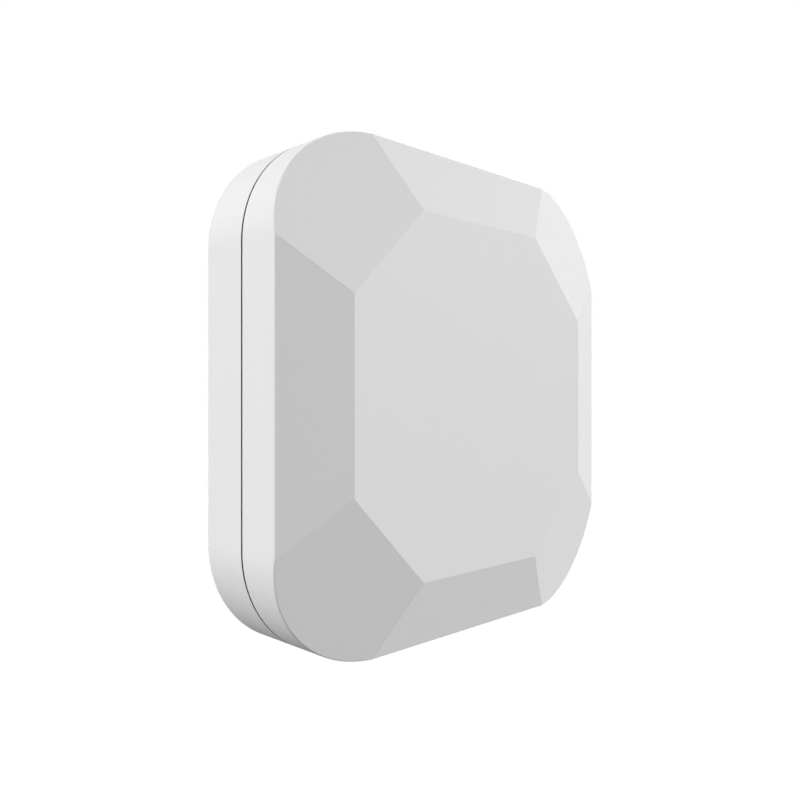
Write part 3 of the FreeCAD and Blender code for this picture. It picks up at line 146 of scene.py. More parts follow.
# Copper tracks in plan, across and up, millimetres
TRACKS = (
    ((-20.2, -11.6), (-17.4, -8.8), (-12.0, -8.2), (26.6, -8.2), (28.9, -9.2)),
    ((-20.2, -12.3), (-13.0, -9.3), (-11.6, -8.8), (26.2, -8.8), (28.7, -10.6)),
    ((-20.2, -13.0), (-13.2, -10.0), (-11.4, -9.4), (25.4, -9.4), (28.6, -11.9)),
    ((-20.2, -13.7), (-13.0, -10.6), (-11.2, -10.0), (14.9, -10.0)),
    ((-27.8, -11.6), (-28.6, -10.8), (-28.6, 25.2), (-28.2, 25.6), (-18.0, 25.6), (-16.4, 27.4)),
    ((-27.8, -12.3), (-29.1, -11.0), (-29.1, 25.4), (-28.4, 26.1), (-18.4, 26.1), (-17.4, 27.1),
     (-17.4, 28.2), (-16.4, 28.9)),
    ((-27.8, -13.0), (-29.6, -11.2), (-29.6, 25.6), (-28.6, 26.6), (-18.7, 26.6), (-17.9, 27.4),
     (-17.9, 29.2), (-16.4, 30.3)),
    ((-24.1, 29.6), (-24.1, 31.0), (-23.4, 31.7), (-16.4, 31.7)),
    ((-21.9, 29.6), (-21.9, 30.4), (-21.4, 30.9), (-18.3, 30.9)),
    ((-24.0, -17.3), (-24.0, -20.5)),
    ((8.6, -22.8), (8.6, -17.5)),
    ((8.4, -15.0), (4.8, -11.4)),
    ((7.4, -22.8), (7.4, -17.5)),
    ((7.2, -15.0), (4.6, -12.4)),
    ((9.0, -34.4), (9.0, -35.4), (12.8, -35.4), (13.2, -35.0), (13.2, -27.7)),
    ((7.0, -34.4), (7.0, -35.4), (3.2, -35.4), (2.8, -35.0), (2.8, -27.7)),
    ((24.2, -16.8), (24.2, -15.0), (28.2, -12.6)),
    ((20.2, -16.8), (20.2, -14.1)),
    ((-0.2, -25.0), (3.6, -21.2), (3.6, -17.5)),
    ((3.6, -14.9), (3.6, -13.4), (1.4, -11.2)),
    ((-1.6, 33.1), (0.6, 33.1), (1.9, 34.4)),
    ((-1.6, 28.9), (4.7, 28.9), (6.2, 30.4), (6.2, 33.6)),
    ((31.6, -8.1), (34.4, -5.2), (34.4, 8.9)),
    ((31.6, -9.4), (35.2, -5.8), (35.2, 8.7)),
    ((18.9, 28.0), (28.4, 28.0), (34.4, 22.0), (34.4, 18.5)),
    ((10.9, 27.0), (28.0, 27.0), (33.6, 21.4), (33.6, 18.5)),
)
POWER_TRACKS = (
    ((15.2, -13.2), (12.2, -16.2), (-14.2, -16.2), (-17.1, -19.1), (-17.1, -24.4)),
    ((-26.0, -25.0), (-29.0, -25.0), (-30.6, -23.4)),
    ((-33.6, -7.6), (-33.6, 8.2)),
)
VIAS = (
    (-12.4, -12.6), (-10.2, -12.6), (-12.4, -14.2), (4.6, -11.2), (4.4, -12.2), (10.4, -12.2),
    (12.6, -18.2), (26.6, -14.4), (34.4, 9.2), (35.2, 9.0), (34.4, 18.2), (33.6, 18.2),
    (-33.6, -8.3), (-33.6, 8.9), (-31.1, -22.9), (-14.6, -34.4), (-12.6, -34.4), (16.8, -30.4),
    (18.6, -30.4), (18.6, 28.0), (10.6, 27.0), (-18.0, 30.9), (22.4, 31.4), (24.2, 31.4),
    (-30.4, -18.2), (29.0, -16.2), (30.6, -18.4), (-24.0, -20.8), (20.2, -13.8), (13.2, -27.4),
    (2.8, -27.4), (1.2, -11.0), (15.2, -10.0), (8.6, -15.2), (8.6, -17.2), (7.4, -15.2),
    (7.4, -17.2), (3.6, -15.2), (3.6, -17.2),
)
PLATING_HEIGHT = 0.06 * MM
VIA_RADIUS = 0.24 * MM
VIA_WIDTH = 0.16 * MM
TEST_PADS = (17.0 * MM, -27.0 * MM, 5, 2.0 * MM)
TEST_PAD_RADIUS = 0.55 * MM

# Solder joints on the board, across and up, millimetres
SOLDER_JOINTS = (
    (18.7, -18.0), (18.7, -22.0), (25.3, -18.0), (25.3, -22.0), (-25.9, -25.0), (-17.1, -25.0),
    (15.2, -12.0), (19.8, -12.0), (-17.5, -10.4), (-14.5, -10.4), (-17.5, -11.6), (-14.5, -11.6),
    (2.2, 34.9), (6.2, 34.9), (6.3, -23.3), (6.3, -25.7), (9.7, -23.3), (9.7, -25.7),
    (7.0, -34.4), (9.0, -34.4), (7.0, -31.6), (9.0, -31.6),
    (-10.9, -24.5), (-10.9, -30.5), (-0.1, -24.5), (-0.1, -30.5),
)
JOINT_SIZE = (0.75 * MM, 0.3 * MM, 0.6 * MM)
JOINT_LEAST = 0.82
JOINT_SEED = 4

# Status light on the front of the board: height of its base and width of its ends
LIGHT_BASE = 0.25 * MM
LIGHT_INSET = 0.14 * MM

# Spring dome of the button: radius of its flat crown
DOME_CROWN = 0.7 * MM

# Reservoir capacitor: its middle, top and dark side, and the cross stamped in its top
CAPACITOR = (-21.5 * MM, -25.0 * MM)
CAPACITOR_TOP = -7.6 * MM
CAPACITOR_DARK = -2.2 * MM
CROSS_RADIUS = 2.9 * MM
CROSS_HALF = 0.14 * MM

# AA cells: radius and height of the points of their outline, in millimetres, from the flat end
# and from the shoulder round the nub
CELL_END = ((0.0, 0.2), (4.2, 0.2), (4.7, 0.0), (6.2, 0.05), (6.3, 0.25), (6.7, 0.0), (7.1, 0.5))
CELL_TOP = ((7.1, -0.5), (6.7, 0.0), (6.2, -0.25), (5.6, -0.25), (5.4, -0.5), (3.3, -0.5),
            (3.1, -0.2), (2.75, -0.1), (2.6, 1.3), (0.0, 1.3))
CELL_LENGTH = 50.5 * MM
NUB_HEIGHT = 1.3 * MM
NUB_END = 26.45 * MM
CELL_DEPTH = -9.25 * MM
CELLS = {"cell_upper": (16.65 * MM, 1), "cell_lower": (1.35 * MM, -1)}
CELLS_MIDDLE = 9.0 * MM
STEEL_RADIUS = 6.25 * MM
WASHER_RADII = (3.2 * MM, 5.5 * MM)
WASHER_DEPTH = 0.9 * MM
SLEEVE_RINGS = ((10.0 * MM, 3.2 * MM), (15.0 * MM, 0.5 * MM), (22.6 * MM, 0.25 * MM))

# White plastic of the shells, and the shade painted into the joint between them
WHITE = (0.80, 0.80, 0.80)
SHELL_ROUGHNESS = 0.68
JOINT_DEPTH = -9.95 * MM
JOINT_HALF = 0.2 * MM
JOINT_REACH = 0.3 * MM
JOINT_SHADE = 0.12

# Board: its colours, the waves of its layers and its weave, and the white print round its parts,
# as middle across, middle up, half width and half height in millimetres
MASK_GREEN = (0.012, 0.105, 0.045)
LAMINATE = (0.42, 0.38, 0.20)
DARK_LAMINATE = tuple(part * 0.6 for part in LAMINATE)
PRINT_WHITE = (0.72, 0.73, 0.71)
LAYER_WAVE = 42000.0
WEAVE_WAVE = 9000.0
PRINTED_OUTLINES = (
    (-24.0, -13.5, 4.3, 4.3), (22.0, -20.0, 4.1, 3.7), (17.5, -12.0, 2.9, 2.6),
    (-21.5, -25.0, 5.0, 4.8), (30.0, -10.0, 1.7, 3.0), (-9.0, 31.0, 7.9, 5.5),
    (-16.0, -11.0, 2.2, 1.3), (-24.0, -8.0, 5.4, 1.3), (-23.0, 28.5, 4.3, 1.3),
)
PRINT_LINE = 0.09

# Plastics: name, colour, roughness, size and depth of the grain in millimetres, unevenness
PLASTICS = {
    "holder_plastic": ("holder_black", (0.028, 0.028, 0.03), 0.5, 0.25, 0.02, 0.2),
    "switch_black": ("switch_black", (0.025, 0.025, 0.027), 0.5, 0.25, 0.012, 0.2),
    "button_plastic": ("button_grey", (0.09, 0.09, 0.095), 0.45, 0.25, 0.01, 0.1),
    "ferrite": ("ferrite_core", (0.07, 0.07, 0.075), 0.7, 0.12, 0.03, 0.3),
    "light_base": ("light_base", (0.75, 0.75, 0.72), 0.5, 0.25, 0.004, 0.04),
    "chip_ceramic": ("chip_ceramic", (0.36, 0.27, 0.17), 0.4, 0.1, 0.006, 0.2),
    "chip_resistor": ("chip_resistor", (0.03, 0.03, 0.034), 0.35, 0.1, 0.006, 0.04),
    "track": ("track_green", (0.02, 0.17, 0.07), 0.26, 0.25, 0.004, 0.2),
    "washer": ("cell_washer", (0.05, 0.05, 0.05), 0.6, 0.25, 0.01, 0.2),
}
LENS = ("light_resin", (0.85, 0.80, 0.45), 0.2, 0.25, 0.002, 0.04)
CLEAR = ("guide_clear", (0.94, 0.95, 0.96), 0.08, 0.25, 0.001, 0.01)

# Metals: the same values, for fine lines in the place of the grain
METALS = {
    "screw_steel": ("screw_zinc", (0.66, 0.67, 0.70), 0.32, 0.12, 0.006, 0.08),
    "contact_metal": ("contact_nickel", (0.70, 0.67, 0.62), 0.28, 0.12, 0.005, 0.08),
    "sensor_metal": ("sensor_can", (0.72, 0.72, 0.71), 0.36, 0.12, 0.008, 0.08),
    "shield_metal": ("shield_tin", (0.75, 0.75, 0.74), 0.34, 0.12, 0.01, 0.12),
    "crystal_metal": ("crystal_lid", (0.76, 0.74, 0.70), 0.3, 0.12, 0.004, 0.08),
    "tinned": ("solder_tin", (0.74, 0.74, 0.75), 0.25, 0.2, 0.01, 0.15),
    "gilded": ("gold_flash", (0.83, 0.62, 0.28), 0.25, 0.12, 0.003, 0.08),
}

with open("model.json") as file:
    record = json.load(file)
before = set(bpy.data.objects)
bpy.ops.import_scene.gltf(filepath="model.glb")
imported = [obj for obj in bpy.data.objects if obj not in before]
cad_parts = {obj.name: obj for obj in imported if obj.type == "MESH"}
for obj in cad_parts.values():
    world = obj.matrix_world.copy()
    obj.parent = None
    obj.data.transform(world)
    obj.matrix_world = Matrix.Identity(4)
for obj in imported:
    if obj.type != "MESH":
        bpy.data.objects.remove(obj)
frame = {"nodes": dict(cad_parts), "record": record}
cad_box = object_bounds()
NODES = frame["nodes"]
BODY_OF = {node: body for body, nodes in frame["record"]["behaviour"]["bodies"].items()
           for node in nodes}
SLOT_OF = {part["node"]: part["material_slot"] for part in frame["record"]["subparts"]}
STRAIGHT = cad_box[1].x - OUTSIDE_RADIUS


# Node trees

def applied(operation, swapped=False):
    """A method that applies an operation to a reading and the term beside it."""
    def method(self, *others):
        return calculate(operation, *((*others, self) if swapped else (self, *others)))
    return method


class Reading:
    """A value in a node tree, which takes part in sums as numbers do."""
    __add__ = applied("ADD")
    __sub__ = applied("SUBTRACT")
    __rsub__ = applied("SUBTRACT", swapped=True)
    __mul__ = applied("MULTIPLY")
    __truediv__ = applied("DIVIDE")
    __rtruediv__ = applied("DIVIDE", swapped=True)
    __lt__ = applied("LESS_THAN")
    __gt__ = applied("GREATER_THAN")
    __abs__ = applied("ABSOLUTE")

    def __init__(self, socket):
        self.socket = socket
        self.tree = socket.id_data


def put(value, target):
    """Set an input, or link a reading or a socket to it."""
    source = value.socket if isinstance(value, Reading) else value
    if isinstance(source, bpy.types.NodeSocket):
        target.id_data.links.new(source, target)
    elif target.type == "RGBA":
        target.default_value = (*source, 1.0)
    else:
        target.default_value = source


def feed(node, **values):
    """Put values into a node's inputs, by their names."""
    for name, value in values.items():
        put(value, node.inputs[name.replace("_", " ")])


def add_node(tree, kind, **values):
    """A new node, with settings in small letters and inputs in capitals."""
    node = tree.nodes.new(kind)
    for name, value in values.items():
        if name.islower():
            setattr(node, name, value)
        else:
            feed(node, **{name: value})
    return node


def readings(node):
    """A node's outputs as readings, by their names."""
    return {socket.name: Reading(socket) for socket in node.outputs}


def pour(values, targets):
    """Put values into inputs, in their order."""
    for value, target in zip(values, targets):
        put(value, target)


def calculate(operation, *terms):
    """What an operation gives over readings and numbers."""
    tree = next(term.tree for term in terms if isinstance(term, Reading))
    node = add_node(tree, "ShaderNodeMath", operation=operation)
    pour(terms, node.inputs)
    return Reading(node.outputs[0])


def largest(choices):
    """The largest of some readings."""
    result, *others = choices
    for other in others:
        result = calculate("MAXIMUM", result, other)
    return result


def distance(across, up):
    """How far a place lies from a middle."""
    return calculate("SQRT", across * across + up * up)


def read_place(tree):
    """The object's own coordinates."""
    return readings(add_node(tree, "ShaderNodeTexCoord"))["Object"]


def split(vector):
    """The three parts of a vector."""
    return readings(add_node(vector.tree, "ShaderNodeSeparateXYZ", Vector=vector)).values()


def add_noise(place, scale, detail=3.0, roughness=0.5):
    """Noise over a place."""
    return readings(add_node(place.tree, "ShaderNodeTexNoise", Vector=place, Scale=scale,
                             Detail=detail, Roughness=roughness))["Fac"]


def blend(factor, first, second):
    """A colour between two colours."""
    mix = add_node(factor.tree, "ShaderNodeMix", data_type="RGBA", Factor=factor)
    pour((first, second), mix.inputs[6:8])
    return mix.outputs[2]


def scaled(vector, factor):
    """A colour or a size times a factor."""
    return add_node(factor.tree, "ShaderNodeVectorMath", operation="SCALE", Vector=vector,
                    Scale=factor).outputs[0]


# Shader groups

def add_socket(tree, side, label, kind):
    """A named input or output of a node group."""
    return tree.interface.new_socket(label.replace("_", " "), in_out=side,
                                     socket_type="NodeSocket" + kind)


def new_group(rule, **inputs):
    """A shader group whose outputs follow by a rule from the object's place and its inputs."""
    tree = bpy.data.node_groups.new(rule.__name__, "ShaderNodeTree")
    for label, value in inputs.items():
        kind = "Color" if label == "Color" else "Float"
        add_socket(tree, "INPUT", label, kind).default_value = value
    outputs = rule(read_place(tree), readings(tree.nodes.new("NodeGroupInput")))
    for label in outputs:
        add_socket(tree, "OUTPUT", label, "Color" if label == "Color" else "Float")
    feed(tree.nodes.new("NodeGroupOutput"), **outputs)
    return tree


def moulded_grain(place, given):
    """Fine moulded or cast grain, as a height and a roughness."""
    fine = add_noise(place, 1.0 / given["Size"], 3.0, 0.55)
    centred = fine + add_noise(place, 90.0, 2.0) - 1.0
    return {"Height": fine, "Roughness": centred * given["Spread"] + given["Roughness"]}


def brushed_lines(place, given):
    """Fine lines along the Z axis of a metal, as a height and a roughness."""
    x, y, z = split(place)
    across = 1.0 / given["Size"]
    drawn = add_node(place.tree, "ShaderNodeCombineXYZ", X=x * across, Y=y * across,
                     Z=z * (across / given["Stretch"]))
    lines = add_noise(readings(drawn)["Vector"], 1.0, 4.0, 0.6)
    return {"Height": lines, "Roughness": (lines - 0.5) * given["Spread"] + given["Roughness"]}


def mottled_color(place, given):
    """Slight unevenness of a colour."""
    noise = add_noise(place, 1.0 / given["Size"], 4.0)
    return {"Color": scaled(given["Color"], (noise - 0.5) * given["Amount"] + 1.0)}


def joint_painted_shade(place, given):
    """Painted shade at the outside edge of the joint between cover and base."""
    x, y, z = split(place)
    band = abs(y - given["Depth"]) < given["Half Width"]
    beyond = [calculate("MAXIMUM", abs(part) - given["Straight"], 0.0) for part in (x, z)]
    edge = distance(*beyond) > given["Radius"] - given["Reach"]
    # The colour is scaled down in a thin band along the joint's outside edge, as painted shade in the
    # gap.
    return {"Color": scaled(given["Color"], 1.0 - band * edge * (1.0 - given["Shade"]))}


def printed_outline(place, given):
    """A printed rectangle: one along its line and zero elsewhere."""
    x, y, z = split(place)
    edge = largest((abs(x - given["Across"]) - given["Half Width"],
                    abs(z - given["Up"]) - given["Half Height"]))
    return {"Mask": abs(edge) < given["Line"]}


def round_mark(place, given):
    """A round mark: one inside its radius and zero outside."""
    x, y, z = split(place)
    return {"Mask": distance(x - given["Across"], z - given["Up"]) < given["Radius"]}


GREY = (0.8, 0.8, 0.8, 1.0)
GRAIN = new_group(moulded_grain, Size=0.0004, Roughness=0.4, Spread=0.05)
BRUSHED = new_group(brushed_lines, Size=0.0002, Stretch=12.0, Roughness=0.3, Spread=0.12)
MOTTLE = new_group(mottled_color, Color=GREY, Size=0.01, Amount=0.02)
# Group that paints shade into the joint between the shells.
JOINT = new_group(joint_painted_shade, Color=GREY, Depth=0.0, Half_Width=0.0002, Straight=0.02, Radius=0.02,
                  Reach=0.0003, Shade=0.3)
OUTLINE = new_group(printed_outline, Across=0.0, Up=0.0, Half_Width=1.0, Half_Height=1.0, Line=0.1)
DOT = new_group(round_mark, Across=0.0, Up=0.0, Radius=0.001)


def add_group(tree, group, **values):
    """What a shader group gives in a material."""
    return readings(add_node(tree, "ShaderNodeGroup", node_tree=group, **values))


# Finishes

def new_finish(name, color, roughness, **values):
    """A material, its tree and its shader with its uniform values."""
    material = bpy.data.materials.new(name)
    material.use_nodes = True
    shader = material.node_tree.nodes["Principled BSDF"]
    feed(shader, Base_Color=color, Roughness=roughness, **values)
    return material, material.node_tree, shader


def add_relief(shader, height, depth):
    """Use a height as the shader's relief."""
    bump = add_node(shader.id_data, "ShaderNodeBump", Distance=depth, Height=height)
    feed(shader, Normal=bump.outputs["Normal"])


def add_surface(shader, group, size, roughness, spread, depth):
    """Give a shader the relief and the uneven gloss of a group."""
    surface = add_group(shader.id_data, group, Size=size, Roughness=roughness, Spread=spread)
    add_relief(shader, surface["Height"], depth)
    feed(shader, Roughness=surface["Roughness"])


def mottled(tree, color, size, amount):
    """A slightly uneven colour."""
    return add_group(tree, MOTTLE, Color=color, Size=size, Amount=amount)["Color"]


def plain_finish(name, color, roughness, size, depth, mottle, group=GRAIN, spread=0.08,
                 patch=8 * MM, **values):
    """One colour with a fine grain or fine lines and slight unevenness."""
    material, tree, shader = new_finish(name, color, roughness, **values)
    add_surface(shader, group, size * MM, roughness, spread, depth * MM)
    feed(shader, Base_Color=mottled(tree, color, patch, mottle))
    return material


def shell_finish(name):
    """White satin plastic of the shells, with shade painted into their joint."""
    material, tree, shader = new_finish(name, WHITE, SHELL_ROUGHNESS)
    add_surface(shader, GRAIN, 0.22 * MM, SHELL_ROUGHNESS, 0.05, 0.003 * MM)
    # The joint band darkens the colour as painted shade in the gap between cover and base.
    joint = add_group(tree, JOINT, Color=mottled(tree, WHITE, 14 * MM, 0.012), Depth=JOINT_DEPTH,
                      Half_Width=JOINT_HALF, Straight=STRAIGHT, Radius=OUTSIDE_RADIUS,
                      Reach=JOINT_REACH, Shade=JOINT_SHADE)
    feed(shader, Base_Color=joint["Color"])
    return material


def face_mask(tree):
    """One on faces towards or away from the wall, and zero elsewhere."""
    x, y, z = split(readings(add_node(tree, "ShaderNodeNewGeometry"))["Normal"])
    return abs(y) > 0.5


def board_finish():
    """Green solder mask with white print on the faces, and bare laminate on the edges."""
    gloss = 0.28
    material, tree, shader = new_finish("board_green", MASK_GREEN, gloss)
    place = read_place(tree)
    x, y, z = split(place)
    printed = largest(add_group(tree, OUTLINE, Across=across * MM, Up=up * MM,
                                Half_Width=half_width * MM, Half_Height=half_height * MM,
                                Line=PRINT_LINE * MM)["Mask"]
                      for across, up, half_width, half_height in PRINTED_OUTLINES)
    face = blend(printed, mottled(tree, MASK_GREEN, 5 * MM, 0.25), PRINT_WHITE)
    edge = blend(calculate("SINE", y * LAYER_WAVE) * 0.18 + 0.5, LAMINATE, DARK_LAMINATE)
    weave = calculate("SINE", x * WEAVE_WAVE) * calculate("SINE", z * WEAVE_WAVE)
    add_relief(shader, printed * 3.0 + weave, 0.002 * MM)
    feed(shader, Base_Color=blend(face_mask(tree), edge, face),
         Roughness=add_noise(place, 700.0) * 0.08 + (printed * 0.3 + gloss))
    return material


def foam_finish():
    """Grey foam with pores of many sizes, painted darker in their hollows as shade."""
    color = (0.10, 0.10, 0.105)
    material, tree, shader = new_finish("foam_open", color, 0.95)
    place = read_place(tree)
    pore = readings(add_node(tree, "ShaderNodeTexVoronoi", Vector=place, Scale=2400.0, Detail=1.0,
                             Randomness=1.0))["Distance"]
    depth = pore * add_noise(place, 500.0)
    add_relief(shader, depth, 0.25 * MM)
    # The pores are painted near black, as shade in their hollows.
    feed(shader, Base_Color=blend(pore * -1.4 + 1.2, (0.03, 0.03, 0.032), color),
         Roughness=depth * -0.2 + 0.98)
    return material


def sleeve_finish():
    """The plain slate sleeve of the cells, with bare rings near the nub."""
    body, bare, gloss = (0.035, 0.055, 0.085), (0.70, 0.70, 0.71), 0.38
    material, tree, shader = new_finish("cell_sleeve", body, gloss, Coat_Weight=0.12,
                                        Coat_Roughness=0.2)
    x, y, z = split(read_place(tree))
    along = x * calculate("SIGN", z - CELLS_MIDDLE)
    rings = largest(abs(along - middle) < half for middle, half in SLEEVE_RINGS)
    add_surface(shader, GRAIN, 0.5 * MM, gloss, 0.12, 0.004 * MM)
    feed(shader, Base_Color=blend(rings, mottled(tree, body, 4 * MM, 0.1), bare),
         Metallic=rings * 0.9)
    return material


def chip_finish():
    """Black compound with specks, and a dot at the controller's first lead."""
    color = (0.022, 0.022, 0.024)
    material, tree, shader = new_finish("chip_black", color, 0.5)
    across, up = CONTROLLER
    reach = CONTROLLER_HALF - 0.9 * MM
    dot = add_group(tree, DOT, Across=across - reach, Up=up + reach, Radius=0.35 * MM)["Mask"]
    specks = add_noise(read_place(tree), 9000.0, 2.0)
    body = blend(specks, color, (0.05, 0.05, 0.052))
    add_relief(shader, dot * -2.0 + specks, 0.01 * MM)
    feed(shader, Base_Color=blend(dot, body, (0.16, 0.16, 0.16)), Roughness=specks * 0.25 + 0.4)
    return material


def capacitor_finish():
    """Drawn aluminium with a stamped cross and a dark negative side."""
    color, gloss = (0.80, 0.80, 0.81), 0.3
    material, tree, shader = new_finish("capacitor_can", color, gloss)
    x, y, z = split(read_place(tree))
    middle_x, middle_z = CAPACITOR
    across, up = x - middle_x, z - middle_z
    top = y > CAPACITOR_TOP
    dark = top * (across < CAPACITOR_DARK)
    inside = add_group(tree, DOT, Across=middle_x, Up=middle_z, Radius=CROSS_RADIUS)["Mask"]
    cross = inside * (calculate("MINIMUM", abs(across), abs(up)) < CROSS_HALF) * top
    surface = add_group(tree, BRUSHED, Size=0.15 * MM, Stretch=8.0, Roughness=gloss, Spread=0.12)
    add_relief(shader, surface["Height"] + cross * -6.0, 0.01 * MM)
    feed(shader, Base_Color=blend(dark, mottled(tree, color, 2 * MM, 0.06), (0.03, 0.03, 0.035)),
         Metallic=1.0 - dark, Roughness=surface["Roughness"])
    return material


def membrane_finish():
    """White felted membrane over the gas port."""
    color = (0.86, 0.86, 0.84)
    material, tree, shader = new_finish("membrane_felt", color, 0.95)
    fibres = add_noise(read_place(tree), 6000.0, 6.0, 0.7)
    add_relief(shader, fibres, 0.006 * MM)
    feed(shader, Base_Color=blend(fibres, (0.72, 0.72, 0.70), color),
         Roughness=fibres * 0.1 + 0.88)
    return material


def make_finishes():
    """Every material, by the record's slot or the scene's own name for it."""
    return {
        "cover_plastic": shell_finish("cover_white"),
        "base_plastic": shell_finish("base_white"),
        "board_laminate": board_finish(),
        "cell_sleeve": sleeve_finish(),
        "foam_grey": foam_finish(),
        "sensor_membrane": membrane_finish(),
        "chip_black": chip_finish(),
        "capacitor_metal": capacitor_finish(),
        "light_lens": plain_finish(*LENS, Subsurface_Weight=0.3, Subsurface_Scale=0.0005),
        "guide_clear": plain_finish(*CLEAR, Transmission_Weight=1.0, IOR=1.49),
        **{slot: plain_finish(*values) for slot, values in PLASTICS.items()},
        **{slot: plain_finish(*values, group=BRUSHED, spread=0.15, patch=3 * MM, Metallic=1.0)
           for slot, values in METALS.items()},
    }


# Stage

def show(name, data):
    """A new object in the scene."""
    item = bpy.data.objects.new(name, data)
    bpy.context.scene.collection.objects.link(item)
    return item


def make_camera():
    """The camera, with its focal length in the picture's points."""
    data = bpy.data.cameras.new("camera")
    data.sensor_width = SENSOR_WIDTH
    data.lens = FOCAL_LENGTH / PICTURE_WIDTH * SENSOR_WIDTH
    data.shift_x = 0.5 - OPTICAL_CENTRE[0] / PICTURE_WIDTH
    data.shift_y = OPTICAL_CENTRE[1] / PICTURE_WIDTH - 0.5
    data.clip_start, data.clip_end = CLIP_RANGE
    camera = show("camera", data)
    camera.location = CAMERA_PLACE
    camera.rotation_euler = (math.pi / 2, 0.0, -CAMERA_TURN)
    bpy.context.scene.camera = camera


def make_light(name, bearing, height, strength):
    """A broad soft light from afar, towards the sensor."""
    bearing, height = math.radians(bearing), math.radians(height)
    away = Vector((math.sin(bearing) * math.cos(height), -math.cos(bearing) * math.cos(height),
                   math.sin(height)))
    data = bpy.data.lights.new(name, "SUN")
    data.angle = LIGHT_SPREAD
    data.energy = strength
    light = show(name, data)
    light.location = away
    light.rotation_euler = away.to_track_quat("Z", "Y").to_euler()


def seen_directly(tree):
    """One for the camera's, mirrored and refracted rays."""
    path = readings(add_node(tree, "ShaderNodeLightPath"))
    return largest(path[f"Is {kind} Ray"] for kind in ("Camera", "Glossy", "Transmission"))


def make_world():
    """A white surrounding that lights the sensor only a little."""
    world = bpy.data.worlds.new("studio")
    world.use_nodes = True
    bpy.context.scene.world = world
    tree = world.node_tree
    tree.nodes.clear()
    ambient, seen = (add_node(tree, "ShaderNodeBackground", Color=FULL_WHITE, Strength=strength)
                     for strength in (AMBIENT, 1.0))
    mix = add_node(tree, "ShaderNodeMixShader")
    pour((seen_directly(tree), ambient.outputs[0], seen.outputs[0]), mix.inputs)
    add_node(tree, "ShaderNodeOutputWorld", Surface=mix.outputs[0])


def make_floor():
    """A pale floor below the sensor, which takes its shadow."""
    mesh = bpy.data.meshes.new("floor")
    half = FLOOR_HALF
    level = cad_box[0].z - FLOOR_DROP
    mesh.from_pydata([(-half, -half, level), (half, -half, level), (half, half, level),
                      (-half, half, level)], [], [(0, 1, 2, 3)])
    floor = show("floor", mesh)
    material = bpy.data.materials.new("floor_white")
    material.use_nodes = True
    tree = material.node_tree
    tree.nodes.clear()
    matt = add_node(tree, "ShaderNodeBsdfDiffuse", Color=(FLOOR_SHADE, FLOOR_SHADE, FLOOR_SHADE))
    glow = add_node(tree, "ShaderNodeEmission", Color=FULL_WHITE,
                    Strength=seen_directly(tree) * FLOOR_GLOW)
    both = add_node(tree, "ShaderNodeAddShader")
    pour((matt.outputs[0], glow.outputs[0]), both.inputs)
    add_node(tree, "ShaderNodeOutputMaterial", Surface=both.outputs[0])
    mesh.materials.append(material)


def make_stage():
    """Camera, lights, surrounding and floor."""
    bpy.context.scene.view_settings.view_transform = "Standard"
    make_camera()
    for name, values in LIGHTS.items():
        make_light(name, *values)
    make_world()
    make_floor()


# Shapes

def shape_of(mesh):
    """A shape that can be worked on, from a mesh."""
    shape = bmesh.new()
    shape.from_mesh(mesh)
    return shape


def rough_object(shape):
    """An object that holds a shape while modifiers work on it."""
    mesh = bpy.data.meshes.new("rough")
    shape.to_mesh(mesh)
    shape.free()
    return show("rough", mesh)


def plain_mesh(rough):
    """What the modifiers make of an object, which then goes."""
    graph = bpy.context.evaluated_depsgraph_get()
    mesh = bpy.data.meshes.new_from_object(rough.evaluated_get(graph), depsgraph=graph)
    bpy.data.objects.remove(rough)
    return mesh


def merged_copy(node):
    """A node's shape, with its loose triangles joined into flat faces."""
    shape = shape_of(NODES[node].data)
    bmesh.ops.remove_doubles(shape, verts=shape.verts, dist=WELD)
    bmesh.ops.dissolve_limit(shape, angle_limit=FLAT, verts=shape.verts, edges=shape.edges)
    return shape


def shaded_mesh(shape, finishes):
    """The mesh of a shape, smooth but for its sharp edges."""
    for face in shape.faces:
        face.smooth = True
    for edge in shape.edges:
        edge.smooth = len(edge.link_faces) == 2 and edge.calc_face_angle(0.0) < SHADED_SHARP
    rough = rough_object(shape)
    for finish in finishes:
        rough.data.materials.append(FINISHES[finish])
    rough.modifiers.new("even_shading", "WEIGHTED_NORMAL").keep_sharp = True
    return plain_mesh(rough)


def new_piece(name, shape, finishes, slot, *nodes, body="front_unit"):
    """A piece from a shape, on its body, which may stand for nodes."""
    mesh = shaded_mesh(shape, finishes)
    mesh.name = name
    piece = show(name, mesh)
    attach(piece, body)
    if nodes:
        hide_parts(*nodes)
    return piece


def stand_in(node, name, shape):
    """A piece in the place of a node, with the node's own finish."""
    slot = SLOT_OF[node]
    return new_piece(name, shape, [slot], slot, node, body=BODY_OF[node])


def ease(shape, edges, width, steps=3):
    """Round some edges of a shape."""
    bmesh.ops.bevel(shape, geom=list(edges), offset=width, offset_type="OFFSET", segments=steps,
                    profile=0.5, affect="EDGES", clamp_overlap=True)


def sharp_edges(shape):
    """The edges of a shape at which two faces meet sharply."""
    return [edge for edge in shape.edges
            if len(edge.link_faces) == 2 and edge.calc_face_angle(0.0) > EASED_SHARP]


def eased_block(low, high, width, steps=2):
    """A block between two corners, with rounded edges."""
    shape = bmesh.new()
    bmesh.ops.create_cube(shape, size=1.0)
    for vertex in shape.verts:
        share = vertex.co + Vector((0.5, 0.5, 0.5))
        vertex.co = Vector(start + (end - start) * part
                           for start, end, part in zip(Vector(low), Vector(high), share))
    ease(shape, shape.edges, width, steps)
    return shape


def upright_block(half_wide, half_high, low, high, width, steps=2):
    """A block over the middle of its place, from one depth to another."""
    return eased_block((-half_wide, low, -half_high), (half_wide, high, half_high), width, steps)


